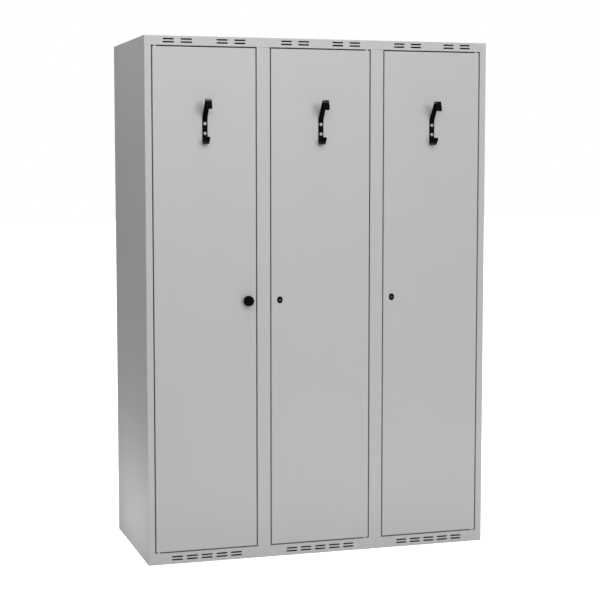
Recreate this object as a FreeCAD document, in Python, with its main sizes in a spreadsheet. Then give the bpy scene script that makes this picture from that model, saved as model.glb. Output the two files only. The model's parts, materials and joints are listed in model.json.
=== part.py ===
"""Steel locker with three full-height doors, as a parametric FreeCAD document.

Millimetres, +Z up.  The doors face -Y and +X is to the right of someone facing
them.  The origin lies on the floor, in the middle of the space that the closed
locker takes up, coat hooks included.

Every size is a cell of the spreadsheet "sizes".  A text such as
"width / 2 - gauge" is an expression on those cells, and bind() hands it to
FreeCAD, so a changed cell moves everything that depends on it.

Most sub-parts are drawn in the frame of their own section: x from the middle
of the section, y backwards from the front face, z up from the floor.
"""
import FreeCAD, Part
import math
import os
import re

import Sketcher

# Each cell: alias, value in millimetres (or a count, or degrees), what it is.
SIZES = [
    ("width", 1200.0, "overall width of the cabinet"),
    ("depth", 550.0, "overall depth of the cabinet, hooks and knob left out"),
    ("height", 1750.0, "overall height"),
    ("sections", 3, "number of sections, one door each"),
    ("gauge", 0.8, "thickness of the cabinet's sheet steel"),
    ("bend_radius", 1.6, "outer radius of the cabinet's long outer bends"),
    ("edge_round", 0.8, "outer radius of the folds round the door openings"),
    ("stile_width", 22.5, "face width of an upright beside a door"),
    ("stile_depth", 18.0, "depth of the upright's fold"),
    ("stile_lip", 10.0, "inner lip of the upright"),
    ("stile_leg", 30.0, "leg of the separate upright along its partition"),
    ("joint_gap", 0.5, "open joint at each end of a separate upright"),
    ("corner_strip", 6.0, "width of side panel beside the end of a rail"),
    ("rear_flange", 20.0, "rear fold that carries the back panel"),
    ("top_rail", 31.0, "height of the rail above the doors"),
    ("bottom_rail", 38.3, "height of the rail under the doors"),
    ("rail_return", 30.0, "depth of the rail's horizontal fold"),
    ("slot_length", 38.0, "length of a vent slot"),
    ("slot_height", 5.0, "height of a vent slot"),
    ("slot_rows", 2, "rows of vent slots in a rail"),
    ("row_pitch", 10.0, "distance between two rows of slots"),
    ("top_slots", 2, "slots side by side in a group over a door"),
    ("top_slot_pitch", 60.0, "distance between the slots of a group"),
    ("top_groups", 2, "groups of slots over one door"),
    ("top_group_pitch", 180.0, "distance between the groups over a door"),
    ("top_slot_drop", 10.5, "first row, down from the roof"),
    ("bottom_slots", 5, "slots in a row under one door"),
    ("bottom_slot_pitch", 51.0, "distance between slots under a door"),
    ("bottom_slot_rise", 14.5, "first row, up from the floor"),
    ("joining_radius", 3.5, "holes for bolting lockers side by side"),
    ("joining_front", 41.0, "front holes, back from the front"),
    ("joining_rear", 95.0, "rear holes, forward from the back"),
    ("joining_low", 102.0, "low holes, up from the floor"),
    ("joining_high", 177.0, "high holes, down from the roof"),
    ("door_gap", 4.0, "gap round each door"),
    ("door_gauge", 1.0, "thickness of the door's sheet steel"),
    ("door_depth", 20.0, "depth of the folded door"),
    ("door_lip", 15.0, "inner lip round the back of the door"),
    ("door_round", 1.5, "outer radius of the door's front edges"),
    ("stiffener_crown", 50.0, "width of the stiffener's crown"),
    ("stiffener_foot", 12.0, "width of each foot of the stiffener"),
    ("stiffener_depth", 16.0, "depth of the stiffener"),
    ("stiffener_end", 30.0, "stiffener, short of the door's end"),
    ("hinge_inset", 8.8, "hinge axis, in from the door's edge"),
    ("hinge_setback", 8.0, "hinge axis, back from the front"),
    ("pin_radius", 3.0, "hinge pin"),
    ("pin_clearance", 0.05, "running clearance of a hinge pin"),
    ("pin_reach", 7.0, "how far a pin stands past the rail's fold"),
    ("shoulder_radius", 4.5, "shoulder and head of a hinge pin"),
    ("shoulder_height", 1.2, "height of the shoulder"),
    ("bracket_plate", 2.0, "thickness of a hinge bracket"),
    ("bracket_length", 34.0, "hinge bracket along the door's end"),
    ("bracket_leg", 40.0, "hinge bracket down the door's edge"),
    ("bush_radius", 4.2, "sleeve of a hinge bush"),
    ("bush_sleeve", 6.0, "sleeve past the rail's fold"),
    ("collar_radius", 5.2, "collar of a hinge bush"),
    ("collar_height", 2.5, "collar in the gap beside the door"),
    ("fit_slack", 0.1, "radial slack of a fixed pin in its hole"),
    ("working_gap", 0.3, "gap between pieces that move past each other"),
    ("stop_offset", 350.0, "door stops above and below the lock"),
    ("stop_plate", 1.5, "thickness of a door stop"),
    ("stop_width", 24.0, "height of a door stop"),
    ("stop_tongue", 11.0, "door stop, past the door's edge"),
    ("buffer_radius", 4.0, "rubber buffer"),
    ("buffer_height", 2.7, "rubber buffer, with the door closed on it"),
    ("rail_drop", 128.0, "hanger rail, down from the roof"),
    ("rail_setback", 300.0, "hanger rail, back from the front"),
    ("rail_tall", 30.0, "oval hanger rail, tall way"),
    ("rail_thick", 15.0, "oval hanger rail, thin way"),
    ("rail_wall", 1.2, "wall of the hanger rail"),
    ("socket_plate", 2.0, "back plate of a rail socket"),
    ("socket_rim", 10.0, "depth of the socket round the rail"),
    ("socket_wall", 2.4, "wall of the socket"),
    ("rivet_pitch", 11.0, "distance between the rivets of a socket"),
    ("rivet_radius", 1.6, "shank of a socket rivet"),
    ("rivet_head", 3.1, "head radius of a socket rivet"),
    ("rivet_dome", 0.9, "head height of a socket rivet"),
    ("hook_drop", 265.0, "middle of the hook's rivets, down from the door's top"),
    ("hook_pitch", 32.0, "distance between the hook's rivets"),
    ("hook_width", 17.0, "width of the hook's bar"),
    ("hook_thick", 4.5, "thickness of the hook's bar at its crown"),
    ("hook_crown", 1.2, "how much the bar's face is crowned"),
    ("hook_reach", 73.0, "hook, out from the door"),
    ("hook_shoulder", 44.5, "top of the arm, out from the door"),
    ("hook_nose", 64.5, "end of the arch, out from the door"),
    ("hook_top", 95.5, "top of the hook, up from its middle"),
    ("hook_lip", 32.5, "how far the upper lip hangs down"),
    ("hook_lift", 35.0, "where the arm leaves the door, up from the middle"),
    ("hook_foot", 51.0, "bottom of the hook, down from its middle"),
    ("hook_toe", 43.0, "tip of the lower hook, out from the door"),
    ("hook_toe_rise", 21.5, "tip of the lower hook, up from its bottom"),
    ("hook_heel", 25.0, "bottom of the lower hook, out from the door"),
    ("hook_bend", 9.5, "radius of the hook's tight bends, outside"),
    ("hook_cradle", 9.0, "radius of the lower hook's bends, outside"),
    ("hook_sweep", 25.0, "radius where the arm leaves the door"),
    ("hook_tip_round", 3.0, "rounding of the corners at the ends of the bar"),
    ("stud_radius", 2.0, "shank of a hook rivet"),
    ("stud_head", 5.8, "head radius of a hook rivet"),
    ("stud_dome", 2.2, "head height of a hook rivet"),
    ("stud_tail", 1.5, "formed end of a hook rivet, its height"),
    ("stud_tail_radius", 3.2, "formed end of a hook rivet, its radius"),
    ("lock_inset", 29.5, "lock or knob axis, in from the door's free edge"),
    ("bezel_width", 18.5, "lock bezel, across"),
    ("bezel_height", 22.5, "lock bezel, up and down"),
    ("bezel_thick", 3.0, "lock bezel, proud of the door"),
    ("bezel_round", 1.2, "rounding of the bezel's front edge"),
    ("barrel_radius", 8.5, "threaded barrel of the lock or knob bush"),
    ("barrel_length", 14.0, "barrel behind the front face"),
    ("plug_nose", 4.2, "radius of the plug seen in the bezel"),
    ("plug_radius", 6.0, "radius of the plug inside the barrel"),
    ("plug_proud", 0.2, "plug, proud of its bezel"),
    ("key_slot", 1.6, "width of the key slot"),
    ("key_blade", 5.9, "height of the key slot"),
    ("key_depth", 7.0, "depth of the key slot"),
    ("turn_clearance", 0.05, "running clearance of a plug or spindle"),
    ("keeper_height", 2.0, "collar that keeps a plug or spindle in"),
    ("keeper_radius", 7.6, "radius of that collar"),
    ("nut_flats", 24.0, "fixing nut across its flats"),
    ("nut_height", 4.0, "height of the fixing nut"),
    ("rose_radius", 13.5, "rose behind the knob"),
    ("rose_height", 2.0, "rose, proud of the door"),
    ("knob_radius", 17.5, "widest radius of the knob"),
    ("knob_neck", 12.0, "radius of the knob next to its rose"),
    ("knob_face", 16.4, "radius of the knob's front face"),
    ("knob_reach", 25.0, "knob, out from the door"),
    ("knob_belly", 12.0, "widest ring of the knob, out from the door"),
    ("knob_round", 2.6, "rounding of the knob's front edge"),
    ("spindle_radius", 5.0, "spindle of the knob"),
    ("spindle_grip", 14.0, "spindle inside the knob"),
    ("cam_setback", 22.4, "front face of a latch cam, back from the front"),
    ("cam_plate", 2.0, "thickness of a latch cam"),
    ("cam_width", 16.0, "width of a latch cam"),
    ("cam_length", 46.0, "latch cam, from its axis to its tip"),
    ("screw_radius", 2.5, "cam screw"),
    ("screw_bite", 9.0, "cam screw inside the plug or spindle"),
    ("screw_run_out", 1.0, "bore past the end of the cam screw"),
    ("screw_head", 4.8, "radius of the cam screw's head"),
    ("screw_cap", 3.0, "height of the cam screw's head"),
    ("socket_key", 2.3, "half the width across the corners of its hexagon socket"),
    ("socket_depth", 2.0, "depth of that socket"),
]

# Sizes that follow from the cells, as expressions.
PITCH = "(width / sections)"
FRONT = "((hook_reach - depth) / 2)"
DOOR_HALF = f"({PITCH} / 2 - stile_width - door_gap)"
DOOR_FOOT = "(bottom_rail + door_gap)"
DOOR_TOP = "(height - top_rail - door_gap)"
DOOR_MIDDLE = f"(({DOOR_FOOT} + {DOOR_TOP}) / 2)"
HINGE_X = f"({DOOR_HALF} - hinge_inset)"
LOCK_X = f"({DOOR_HALF} - lock_inset)"
HOOK_Z = f"({DOOR_TOP} - hook_drop)"
RAIL_Z = "(height - rail_drop)"

# How far a cut runs past what it cuts.
OVERCUT = "1"

doc = FreeCAD.newDocument("locker")
sheet = doc.addObject("Spreadsheet::Sheet", "sizes")
sub_parts = []


# ---------------------------------------------------------------- spreadsheet
def fill_sheet():
    """One row for each size: what it is, its value and its alias."""
    for row, (alias, value, meaning) in enumerate(SIZES, start=1):
        sheet.set(f"A{row}", meaning)
        sheet.set(f"B{row}", str(value))
        sheet.setAlias(f"B{row}", alias)
    doc.recompute()


ALIAS = re.compile(r"\b(" + "|".join(alias for alias, _, _ in SIZES) + r")\b")


def expression(text):
    """The text with every alias written as a cell of the sheet."""
    return ALIAS.sub(r"sizes.\1", str(text))


def number(text):
    """What the expression is worth now."""
    return float(sheet.evalExpression(str(text)))


def bind(thing, links):
    """Tie properties of an object to expressions."""
    for path, text in links.items():
        thing.setExpression(path, expression(text))


def section_x(section):
    """The middle of a section, counted from 1 at the left."""
    return f"(({section} - 0.5) * {PITCH} - width / 2)"


def boundary_x(section):
    """The right-hand boundary of a section."""
    return f"({section} * {PITCH} - width / 2)"


def keep(thing, label, across="0", up="0"):
    """Name a sub-part, place it, and put it on the list to be written."""
    thing.Label = label
    bind(thing, {"Placement.Base.x": across, "Placement.Base.y": FRONT, "Placement.Base.z": up})
    sub_parts.append(thing)
    return thing


# ------------------------------------------------------- primitives, booleans
def box(name, across, back, up):
    """A box from three (low, high) pairs of expressions."""
    block = doc.addObject("Part::Box", name)
    sizes = zip(("Length", "Width", "Height"), "xyz", (across, back, up))
    for size, axis, (low, high) in sizes:
        bind(block, {size: f"({high}) - ({low})", f"Placement.Base.{axis}": low})
    return block


def round_bar(name, radius, start, length, along):
    """A cylinder from start, running along z (up) or along y (back)."""
    bar = doc.addObject("Part::Cylinder", name)
    if along == "y":
        bar.Placement.Rotation = FreeCAD.Rotation(FreeCAD.Vector(1, 0, 0), -90)
    if along == "x":
        bar.Placement.Rotation = FreeCAD.Rotation(FreeCAD.Vector(0, 1, 0), 90)
    bind(bar, {"Radius": radius, "Height": length})
    bind(bar, {f"Placement.Base.{axis}": place for axis, place in zip("xyz", start)})
    return bar


def dome(name, radius, height, base, towards):
    """A low domed rivet head: the cap of a sphere on a flat base."""
    cap = doc.addObject("Part::Sphere", name)
    axis, turn = {
        "front": (FreeCAD.Vector(1, 0, 0), 90),
        "left": (FreeCAD.Vector(0, 1, 0), -90),
        "right": (FreeCAD.Vector(0, 1, 0), 90),
    }[towards]
    cap.Placement.Rotation = FreeCAD.Rotation(axis, turn)
    sphere = f"(({radius} ^ 2 + {height} ^ 2) / (2 * {height}))"
    sink = f"({sphere} - {height})"
    bind(cap, {"Radius": sphere, "Angle1": f"asin({sink} / {sphere})"})
    shift = {"front": (0, 1, 0), "left": (1, 0, 0), "right": (-1, 0, 0)}[towards]
    for letter, place, step in zip("xyz", base, shift):
        bind(cap, {f"Placement.Base.{letter}": f"({place}) + ({step}) * {sink}"})
    return cap


def fuse(name, pieces):
    """All pieces joined, or kept as separate solids where they don't touch."""
    whole = doc.addObject("Part::MultiFuse", name)
    whole.Shapes = pieces
    return whole


def cut(name, base, tool):
    """Base with tool taken away."""
    rest = doc.addObject("Part::Cut", name)
    rest.Base = base
    rest.Tool = tool
    return rest


# ------------------------------------------------------------ sketches, bodies
def new_body(name):
    return doc.addObject("PartDesign::Body", name)


def origin_feature(body, role):
    return next(item for item in body.Origin.OriginFeatures if item.Role == role)


def sketch_on(body, role, name, lift="0"):
    """A sketch on one of the body's own planes, moved along its normal."""
    sketch = body.newObject("Sketcher::SketchObject", name)
    sketch.AttachmentSupport = [(origin_feature(body, role), "")]
    sketch.MapMode = "FlatFace"
    bind(sketch, {"AttachmentOffset.Base.z": lift})
    return sketch


def drive(sketch, index, text):
    """Tie one dimension of a sketch to an expression."""
    sketch.setExpression(f"Constraints[{index}]", expression(text))


def fix_point(sketch, item, spot, across, up):
    """Hold a point of a sketch at two driven distances from its origin."""
    for kind, text in (("DistanceX", across), ("DistanceY", up)):
        rule = Sketcher.Constraint(kind, -1, 1, item, spot, number(text))
        drive(sketch, sketch.addConstraint(rule), text)


def spot_of(corner):
    return FreeCAD.Vector(number(corner[0]), number(corner[1]), 0)


def polygon(sketch, corners):
    """A closed outline whose corners are pairs of expressions."""
    spots = [spot_of(corner) for corner in corners]
    first = sketch.GeometryCount
    for start, end in zip(spots, spots[1:] + spots[:1]):
        sketch.addGeometry(Part.LineSegment(start, end))
    for place, (across, up) in enumerate(corners):
        fix_point(sketch, first + place, 1, across, up)
        following = first + (place + 1) % len(corners)
        sketch.addConstraint(Sketcher.Constraint("Coincident", first + place, 2, following, 1))


def rectangle(sketch, across, up):
    """A rectangle from two (low, high) pairs."""
    (left, right), (low, high) = across, up
    polygon(sketch, [(left, low), (right, low), (right, high), (left, high)])


def circle(sketch, across, up, radius):
    """A circle with its centre and radius driven."""
    ring = Part.Circle(spot_of((across, up)), FreeCAD.Vector(0, 0, 1), number(radius))
    item = sketch.addGeometry(ring)
    fix_point(sketch, item, 3, across, up)
    drive(sketch, sketch.addConstraint(Sketcher.Constraint("Radius", item, number(radius))), radius)


def arc(centre, radius, start, end):
    """The arc that runs anticlockwise from angle start to angle end."""
    ring = Part.Circle(centre, FreeCAD.Vector(0, 0, 1), radius)
    return Part.ArcOfCircle(ring, start, end)


def round_ended(sketch, middle, length, thick, tall=False):
    """A slot outline: two straight sides and two half-round ends."""
    reach = f"(({length}) - ({thick})) / 2"
    half = f"({thick}) / 2"
    offsets = [(f"-{reach}", f"-{half}"), (reach, f"-{half}"), (reach, half), (f"-{reach}", half)]
    if tall:
        offsets = [(f"{half}", f"-{reach}"), (half, reach), (f"-{half}", reach), (f"-{half}", f"-{reach}")]
    corners = [(f"({middle[0]}) + ({a})", f"({middle[1]}) + ({b})") for a, b in offsets]
    spots = [spot_of(corner) for corner in corners]
    first = sketch.GeometryCount
    quarter = math.pi / 2
    lean = quarter if tall else 0.0
    sketch.addGeometry(Part.LineSegment(spots[0], spots[1]))
    far = (spots[1] + spots[2]) * 0.5
    sketch.addGeometry(arc(far, number(half), lean - quarter, lean + quarter))
    sketch.addGeometry(Part.LineSegment(spots[2], spots[3]))
    near = (spots[3] + spots[0]) * 0.5
    sketch.addGeometry(arc(near, number(half), lean + quarter, lean + 3 * quarter))
    for item, spot, corner in ((0, 1, 0), (0, 2, 1), (2, 1, 2), (2, 2, 3)):
        fix_point(sketch, first + item, spot, *corners[corner])
    for line, bend in ((0, 1), (2, 3)):
        sketch.addConstraint(Sketcher.Constraint("Tangent", first + line, 2, first + bend, 1))
        after = first + (bend + 1) % 4
        sketch.addConstraint(Sketcher.Constraint("Coincident", first + bend, 2, after, 1))


def bent_line(sketch, corners, radii):
    """An open path: straight runs through the corners, joined by tangent arcs."""
    spots = [spot_of(corner) for corner in corners]
    guides = []
    for start, end in zip(spots, spots[1:]):
        guides.append(sketch.addGeometry(Part.LineSegment(start, end), True))
    for place, corner in enumerate(corners[:-1]):
        fix_point(sketch, guides[place], 1, *corner)
    fix_point(sketch, guides[-1], 2, *corners[-1])
    for before, after in zip(guides, guides[1:]):
        sketch.addConstraint(Sketcher.Constraint("Coincident", before, 2, after, 1))
    turns = []
    for place, radius in enumerate(radii, start=1):
        inward = (spots[place] - spots[place - 1]).normalize()
        outward = (spots[place + 1] - spots[place]).normalize()
        side = 1 if inward.cross(outward).z > 0 else -1
        trim = number(radius) * math.tan(inward.getAngle(outward) / 2)
        begin = spots[place] - inward * trim
        finish = spots[place] + outward * trim
        centre = begin + FreeCAD.Vector(-inward.y, inward.x, 0) * (side * number(radius))
        turns.append((begin, finish, centre, side))
    starts = [spots[0]] + [turn[1] for turn in turns]
    ends = [turn[0] for turn in turns] + [spots[-1]]
    runs = [sketch.addGeometry(Part.LineSegment(a, b)) for a, b in zip(starts, ends)]
    sketch.addConstraint(Sketcher.Constraint("Coincident", runs[0], 1, guides[0], 1))
    sketch.addConstraint(Sketcher.Constraint("Coincident", runs[-1], 2, guides[-1], 2))
    for place, (begin, finish, centre, side) in enumerate(turns):
        sketch.addConstraint(Sketcher.Constraint("PointOnObject", runs[place], 2, guides[place]))
        sketch.addConstraint(Sketcher.Constraint("PointOnObject", runs[place + 1], 1, guides[place + 1]))
        first, last = (begin, finish) if side > 0 else (finish, begin)
        low = math.atan2(first.y - centre.y, first.x - centre.x)
        high = math.atan2(last.y - centre.y, last.x - centre.x)
        bend = sketch.addGeometry(arc(centre, number(radii[place]), low, high))
        near, far = (1, 2) if side > 0 else (2, 1)
        sketch.addConstraint(Sketcher.Constraint("Tangent", runs[place], 2, bend, near))
        sketch.addConstraint(Sketcher.Constraint("Tangent", bend, far, runs[place + 1], 1))
        rule = Sketcher.Constraint("Radius", bend, number(radii[place]))
        drive(sketch, sketch.addConstraint(rule), radii[place])


def through(thickness):
    """Length of a cut, centred on a face, that passes the thickness behind it."""
    return f"2 * ({thickness} + {OVERCUT})"


def pad(body, sketch, length, name, backwards=False, both=False):
    """Grow a sketch into the body along its normal."""
    feature = body.newObject("PartDesign::Pad", name)
    feature.Profile = sketch
    feature.Reversed = backwards
    feature.Midplane = both
    bind(feature, {"Length": length})
    doc.recompute()
    return feature


def pocket(body, sketch, length, name, backwards=False, both=False):
    """Cut a sketch out of the body, and make sure that it cut something."""
    before = body.Shape.Volume
    feature = body.newObject("PartDesign::Pocket", name)
    feature.Profile = sketch
    feature.Reversed = backwards
    feature.Midplane = both
    bind(feature, {"Length": length})
    doc.recompute()
    if not body.Shape.Volume < before - 1e-6:
        raise RuntimeError(f"{body.Name}: {name} cut nothing")
    return feature


def edges_through(shape, test):
    """Names of the edges whose two ends pass the test."""
    names = []
    for place, edge in enumerate(shape.Edges, start=1):
        if len(edge.Vertexes) == 2 and all(test(vertex.Point) for vertex in edge.Vertexes):
            names.append(f"Edge{place}")
    return names


def near(value, text):
    return abs(value - number(text)) < 1e-4


def fillet(body, base, names, radius, name):
    """Round the named edges of a feature."""
    feature = body.newObject("PartDesign::Fillet", name)
    feature.Base = (base, names)
    bind(feature, {"Radius": radius})
    doc.recompute()
    return feature


# --------------------------------------------------------------- the cabinet
def wall_outline(inward, last):
    """Plan of a wall: front upright with its lip, sheet, and rear flange.

    inward is 1 where the folds go towards +x from the wall and -1 otherwise.
    The wall's own face lies on x = 0, and its sheet ends at y = last.
    """
    flange = "depth - gauge"
    points = [
        ("0", "0"),
        ("stile_width", "0"),
        ("stile_width", "stile_depth"),
        ("stile_width - gauge - stile_lip", "stile_depth"),
        ("stile_width - gauge - stile_lip", "stile_depth - gauge"),
        ("stile_width - gauge", "stile_depth - gauge"),
        ("stile_width - gauge", "gauge"),
        ("gauge", "gauge"),
        ("gauge", f"{flange} - gauge"),
        ("gauge + rear_flange", f"{flange} - gauge"),
        ("gauge + rear_flange", flange),
        ("gauge", flange),
        ("gauge", last),
        ("0", last),
    ]
    if last == flange:
        del points[11:13]
    return [(f"({inward}) * ({across})", back) for across, back in points]


def rail_notches(body, inward, first):
    """Clear the front of a wall where the top and bottom rails pass it."""
    reach = [f"({inward}) * ({first})", f"({inward}) * (stile_width + gauge)"]
    for name, level in (("top", "height - top_rail"), ("bottom", "0")):
        sketch = sketch_on(body, "XY_Plane", f"{name}_notch_plan", level)
        rectangle(sketch, reach, ("0", "rail_return"))
        tall = "top_rail" if name == "top" else "bottom_rail"
        pocket(body, sketch, tall, f"{name}_notch", backwards=True)


def flange_notches(body, inward):
    """Clear the ends of the rear flange where the roof and floor sheets pass it."""
    reach = [f"({inward}) * gauge", f"({inward}) * (2 * gauge + rear_flange)"]
    for name, level in (("upper", "height - gauge"), ("lower", "0")):
        sketch = sketch_on(body, "XY_Plane", f"{name}_flange_plan", level)
        rectangle(sketch, reach, ("depth - 3 * gauge", "depth + gauge"))
        pocket(body, sketch, "gauge", f"{name}_flange_notch", backwards=True)


def rivet_holes(body, radius, name):
    """The two holes for the rivets of a hanger rail socket."""
    sketch = sketch_on(body, "YZ_Plane", f"{name}_plan")
    for side in (-1, 1):
        circle(sketch, "rail_setback", f"{RAIL_Z} + ({side}) * rivet_pitch / 2", radius)
    pocket(body, sketch, through("gauge"), name, both=True)


def round_upright(body, inward, outer_corner):
    """Round the folds of a wall's upright, and its outer corner if it has one."""
    places = [("stile_width", "edge_round")]
    if outer_corner:
        places.append(("0", "bend_radius"))
    for across, radius in places:
        tip = body.Tip
        names = edges_through(
            body.Shape,
            lambda p: near(p.x, f"({inward}) * {across}") and near(p.y, "0"),
        )
        fillet(body, tip, names, radius, "round")


def side_panel(label, inward):
    """Outer wall: upright, sheet and rear flange folded from one sheet."""
    body = new_body(label)
    plan = sketch_on(body, "XY_Plane", "plan")
    polygon(plan, wall_outline(inward, "depth"))
    pad(body, plan, "height", "sheet")
    rail_notches(body, inward, "corner_strip")
    flange_notches(body, inward)
    holes = sketch_on(body, "YZ_Plane", "joining_plan")
    for back in ("joining_front", "depth - joining_rear"):
        for up in ("joining_low", "height - joining_high"):
            circle(holes, back, up, "joining_radius")
    pocket(body, holes, through("gauge"), "joining_holes", both=True)
    rivet_holes(body, "rivet_radius + fit_slack", "rivet_holes")
    round_upright(body, inward, outer_corner=True)
    keep(body, label, f"-({inward}) * width / 2")


def partition(section):
    """Wall on the right of a section, with that section's right upright."""
    label = f"partition_{section}"
    body = new_body(label)
    plan = sketch_on(body, "XY_Plane", "plan", "gauge")
    polygon(plan, wall_outline(-1, "depth - gauge"))
    pad(body, plan, "height - 2 * gauge", "sheet")
    rail_notches(body, -1, "-gauge")
    rivet_holes(body, "rivet_radius + fit_slack", "rivet_holes")
    round_upright(body, -1, outer_corner=False)
    keep(body, label, boundary_x(section))


def stile_angle(section):
    """Separate folded upright on the left of the next section's door."""
    label = f"stile_angle_{section}"
    body = new_body(label)
    plan = sketch_on(body, "XY_Plane", "plan", "bottom_rail + joint_gap")
    outline = wall_outline(1, "depth")[:8]
    polygon(plan, outline + [("gauge", "stile_leg"), ("0", "stile_leg")])
    pad(body, plan, "height - top_rail - bottom_rail - 2 * joint_gap", "fold")
    round_upright(body, 1, outer_corner=False)
    keep(body, label, boundary_x(section))


def vent_slots(body, first_row, upward, rows_across):
    """Rows of vent slots in front of every section.

    first_row is the height of the first row, and the others follow upward (1)
    or downward (-1).  rows_across lists how one row is made from one slot, as
    (name, pitch, count) patterns that are centred on the section.
    """
    plan = sketch_on(body, "XZ_Plane", "slot_plan")
    patterns = [
        (name, "X_Axis", f"({count} - 1) * {pitch}", count) for name, pitch, count in rows_across
    ]
    start = section_x(1) + "".join(f" - {spread} / 2" for _, _, spread, _ in patterns)
    round_ended(plan, (start, first_row), "slot_length", "slot_height")
    slot = pocket(body, plan, through("gauge"), "slot", both=True)
    patterns += [
        ("rows", "Z_Axis", "(slot_rows - 1) * row_pitch", "slot_rows"),
        ("sections", "X_Axis", f"(sections - 1) * {PITCH}", "sections"),
    ]
    before = body.Shape.Volume
    rows = body.newObject("PartDesign::MultiTransform", "slots")
    rows.Originals = [slot]
    steps = []
    for name, axis, spread, count in patterns:
        pattern = body.newObject("PartDesign::LinearPattern", name)
        pattern.Direction = (origin_feature(body, axis), [""])
        pattern.Reversed = axis == "Z_Axis" and upward < 0
        bind(pattern, {"Length": spread, "Occurrences": count})
        steps.append(pattern)
    rows.Transformations = steps
    body.Tip = rows
    doc.recompute()
    if not body.Shape.Volume < before - 1e-6:
        raise RuntimeError(f"{body.Name}: the slots aren't repeated")


def cross_panel(label, level, step, rail, first_row, rows_across):
    """Roof or floor: its sheet, and the front rail with its inward fold.

    Heights are measured from the outer face, at level, in the direction step.
    """
    body = new_body(label)

    def up(text):
        return f"({level}) + ({step}) * ({text})"

    profile = sketch_on(body, "YZ_Plane", "profile")
    outline = [
        ("0", "0"),
        ("depth", "0"),
        ("depth", "gauge"),
        ("gauge", "gauge"),
        ("gauge", f"{rail} - gauge"),
        ("rail_return", f"{rail} - gauge"),
        ("rail_return", rail),
        ("0", rail),
    ]
    polygon(profile, [(back, up(rise)) for back, rise in outline])
    pad(body, profile, "width - 2 * corner_strip", "rail", both=True)
    plate = sketch_on(body, "XY_Plane", "plate_plan", up("gauge") if step < 0 else up("0"))
    reach = ("gauge - width / 2", "width / 2 - gauge")
    rectangle(plate, reach, ("gauge", "depth"))
    pad(body, plate, "gauge", "plate")
    vent_slots(body, up(first_row), step, rows_across)
    bores = sketch_on(body, "XY_Plane", "bush_plan", up(rail))
    for section, hand in HANDS.items():
        circle(bores, hinge_x(section, hand), "hinge_setback", "bush_radius")
    pocket(body, bores, through("gauge"), "bush_holes", both=True)
    for rise, radius in (("0", "bend_radius"), (rail, "edge_round")):
        names = edges_through(body.Shape, lambda p: near(p.y, "0") and near(p.z, up(rise)))
        fillet(body, body.Tip, names, radius, "round")
    keep(body, label)


def hinge_x(section, hand):
    """Hinge axis of a section's door, from the middle of the locker."""
    return f"({section_x(section)} - ({hand}) * {HINGE_X})"


def back_panel():
    """Flat back sheet, on the walls' rear flanges."""
    body = new_body("back_panel")
    plan = sketch_on(body, "XZ_Plane", "plan", "-depth")
    rectangle(plan, ("gauge - width / 2", "width / 2 - gauge"), ("gauge", "height - gauge"))
    pad(body, plan, "gauge", "sheet")
    keep(body, "back_panel")


# ------------------------------------------------------------- hanger rails
def wall_faces(section):
    """The inner faces of a section's two walls, in the section's own frame."""
    left = "gauge" if section == 1 else "0"
    return f"({left} - {PITCH} / 2)", f"({PITCH} / 2 - gauge)"


def hanger_rail(section):
    """Oval tube across a section, from socket to socket."""
    label = f"hanger_rail_{section}"
    body = new_body(label)
    left, right = wall_faces(section)
    start = f"{left} + socket_plate"
    plan = sketch_on(body, "YZ_Plane", "oval", start)
    middle = ("rail_setback", RAIL_Z)
    round_ended(plan, middle, "rail_tall", "rail_thick", tall=True)
    pad(body, plan, f"{right} - socket_plate - ({start})", "tube")
    bore = sketch_on(body, "YZ_Plane", "bore_oval", start)
    round_ended(bore, middle, "rail_tall - 2 * rail_wall", "rail_thick - 2 * rail_wall", tall=True)
    pocket(body, bore, f"{right} - {left}", "bore", backwards=True)
    keep(body, label, section_x(section))


def rail_socket(section, side):
    """Plastic socket for one end of a hanger rail; side is -1 left, 1 right."""
    body = new_body(f"rail_socket_{section}")
    face = wall_faces(section)[0 if side < 0 else 1]
    middle = ("rail_setback", RAIL_Z)
    grow = "2 * (fit_slack + socket_wall)"
    plan = sketch_on(body, "YZ_Plane", "outer", face)
    round_ended(plan, middle, f"rail_tall + {grow}", f"rail_thick + {grow}", tall=True)
    pad(body, plan, "socket_plate + socket_rim", "block", backwards=side > 0)
    inner = sketch_on(body, "YZ_Plane", "inner", f"{face} - ({side}) * socket_plate")
    round_ended(inner, middle, "rail_tall + 2 * fit_slack", "rail_thick + 2 * fit_slack", tall=True)
    pocket(body, inner, "socket_rim", "cup", backwards=side < 0)
    holes = sketch_on(body, "YZ_Plane", "rivet_plan", face)
    for step in (-1, 1):
        circle(holes, middle[0], f"{RAIL_Z} + ({step}) * rivet_pitch / 2", "rivet_radius + fit_slack")
    pocket(body, holes, through("socket_plate"), "rivet_holes", both=True)
    return body


def rail_sockets(section):
    """Both sockets of one rail."""
    pair = doc.addObject("Part::Compound", f"rail_sockets_{section}")
    pair.Links = [rail_socket(section, side) for side in (-1, 1)]
    keep(pair, f"rail_sockets_{section}", section_x(section))


def rail_rivets():
    """Rivets through each wall and the sockets on it."""
    rivets = []
    last = len(HANDS)
    for wall in range(last + 1):
        left_face = f"{boundary_x(wall)} - ({'gauge + socket_plate' if wall else '0'})"
        right_face = f"{boundary_x(wall)} + ({'socket_plate' if wall else 'gauge + socket_plate'})"
        if wall == last:
            right_face = boundary_x(wall)
        for step in (-1, 1):
            level = f"{RAIL_Z} + ({step}) * rivet_pitch / 2"
            tail = f"rivet_{wall}"
            start = (left_face, "rail_setback", level)
            end = (right_face, "rail_setback", level)
            rivets += [
                round_bar(f"{tail}_shank", "rivet_radius", start, f"({right_face}) - ({left_face})", "x"),
                dome(f"{tail}_left", "rivet_head", "rivet_dome", start, "left"),
                dome(f"{tail}_right", "rivet_head", "rivet_dome", end, "right"),
            ]
    keep(fuse("rail_rivet_group", rivets), "rail_rivets")


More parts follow.
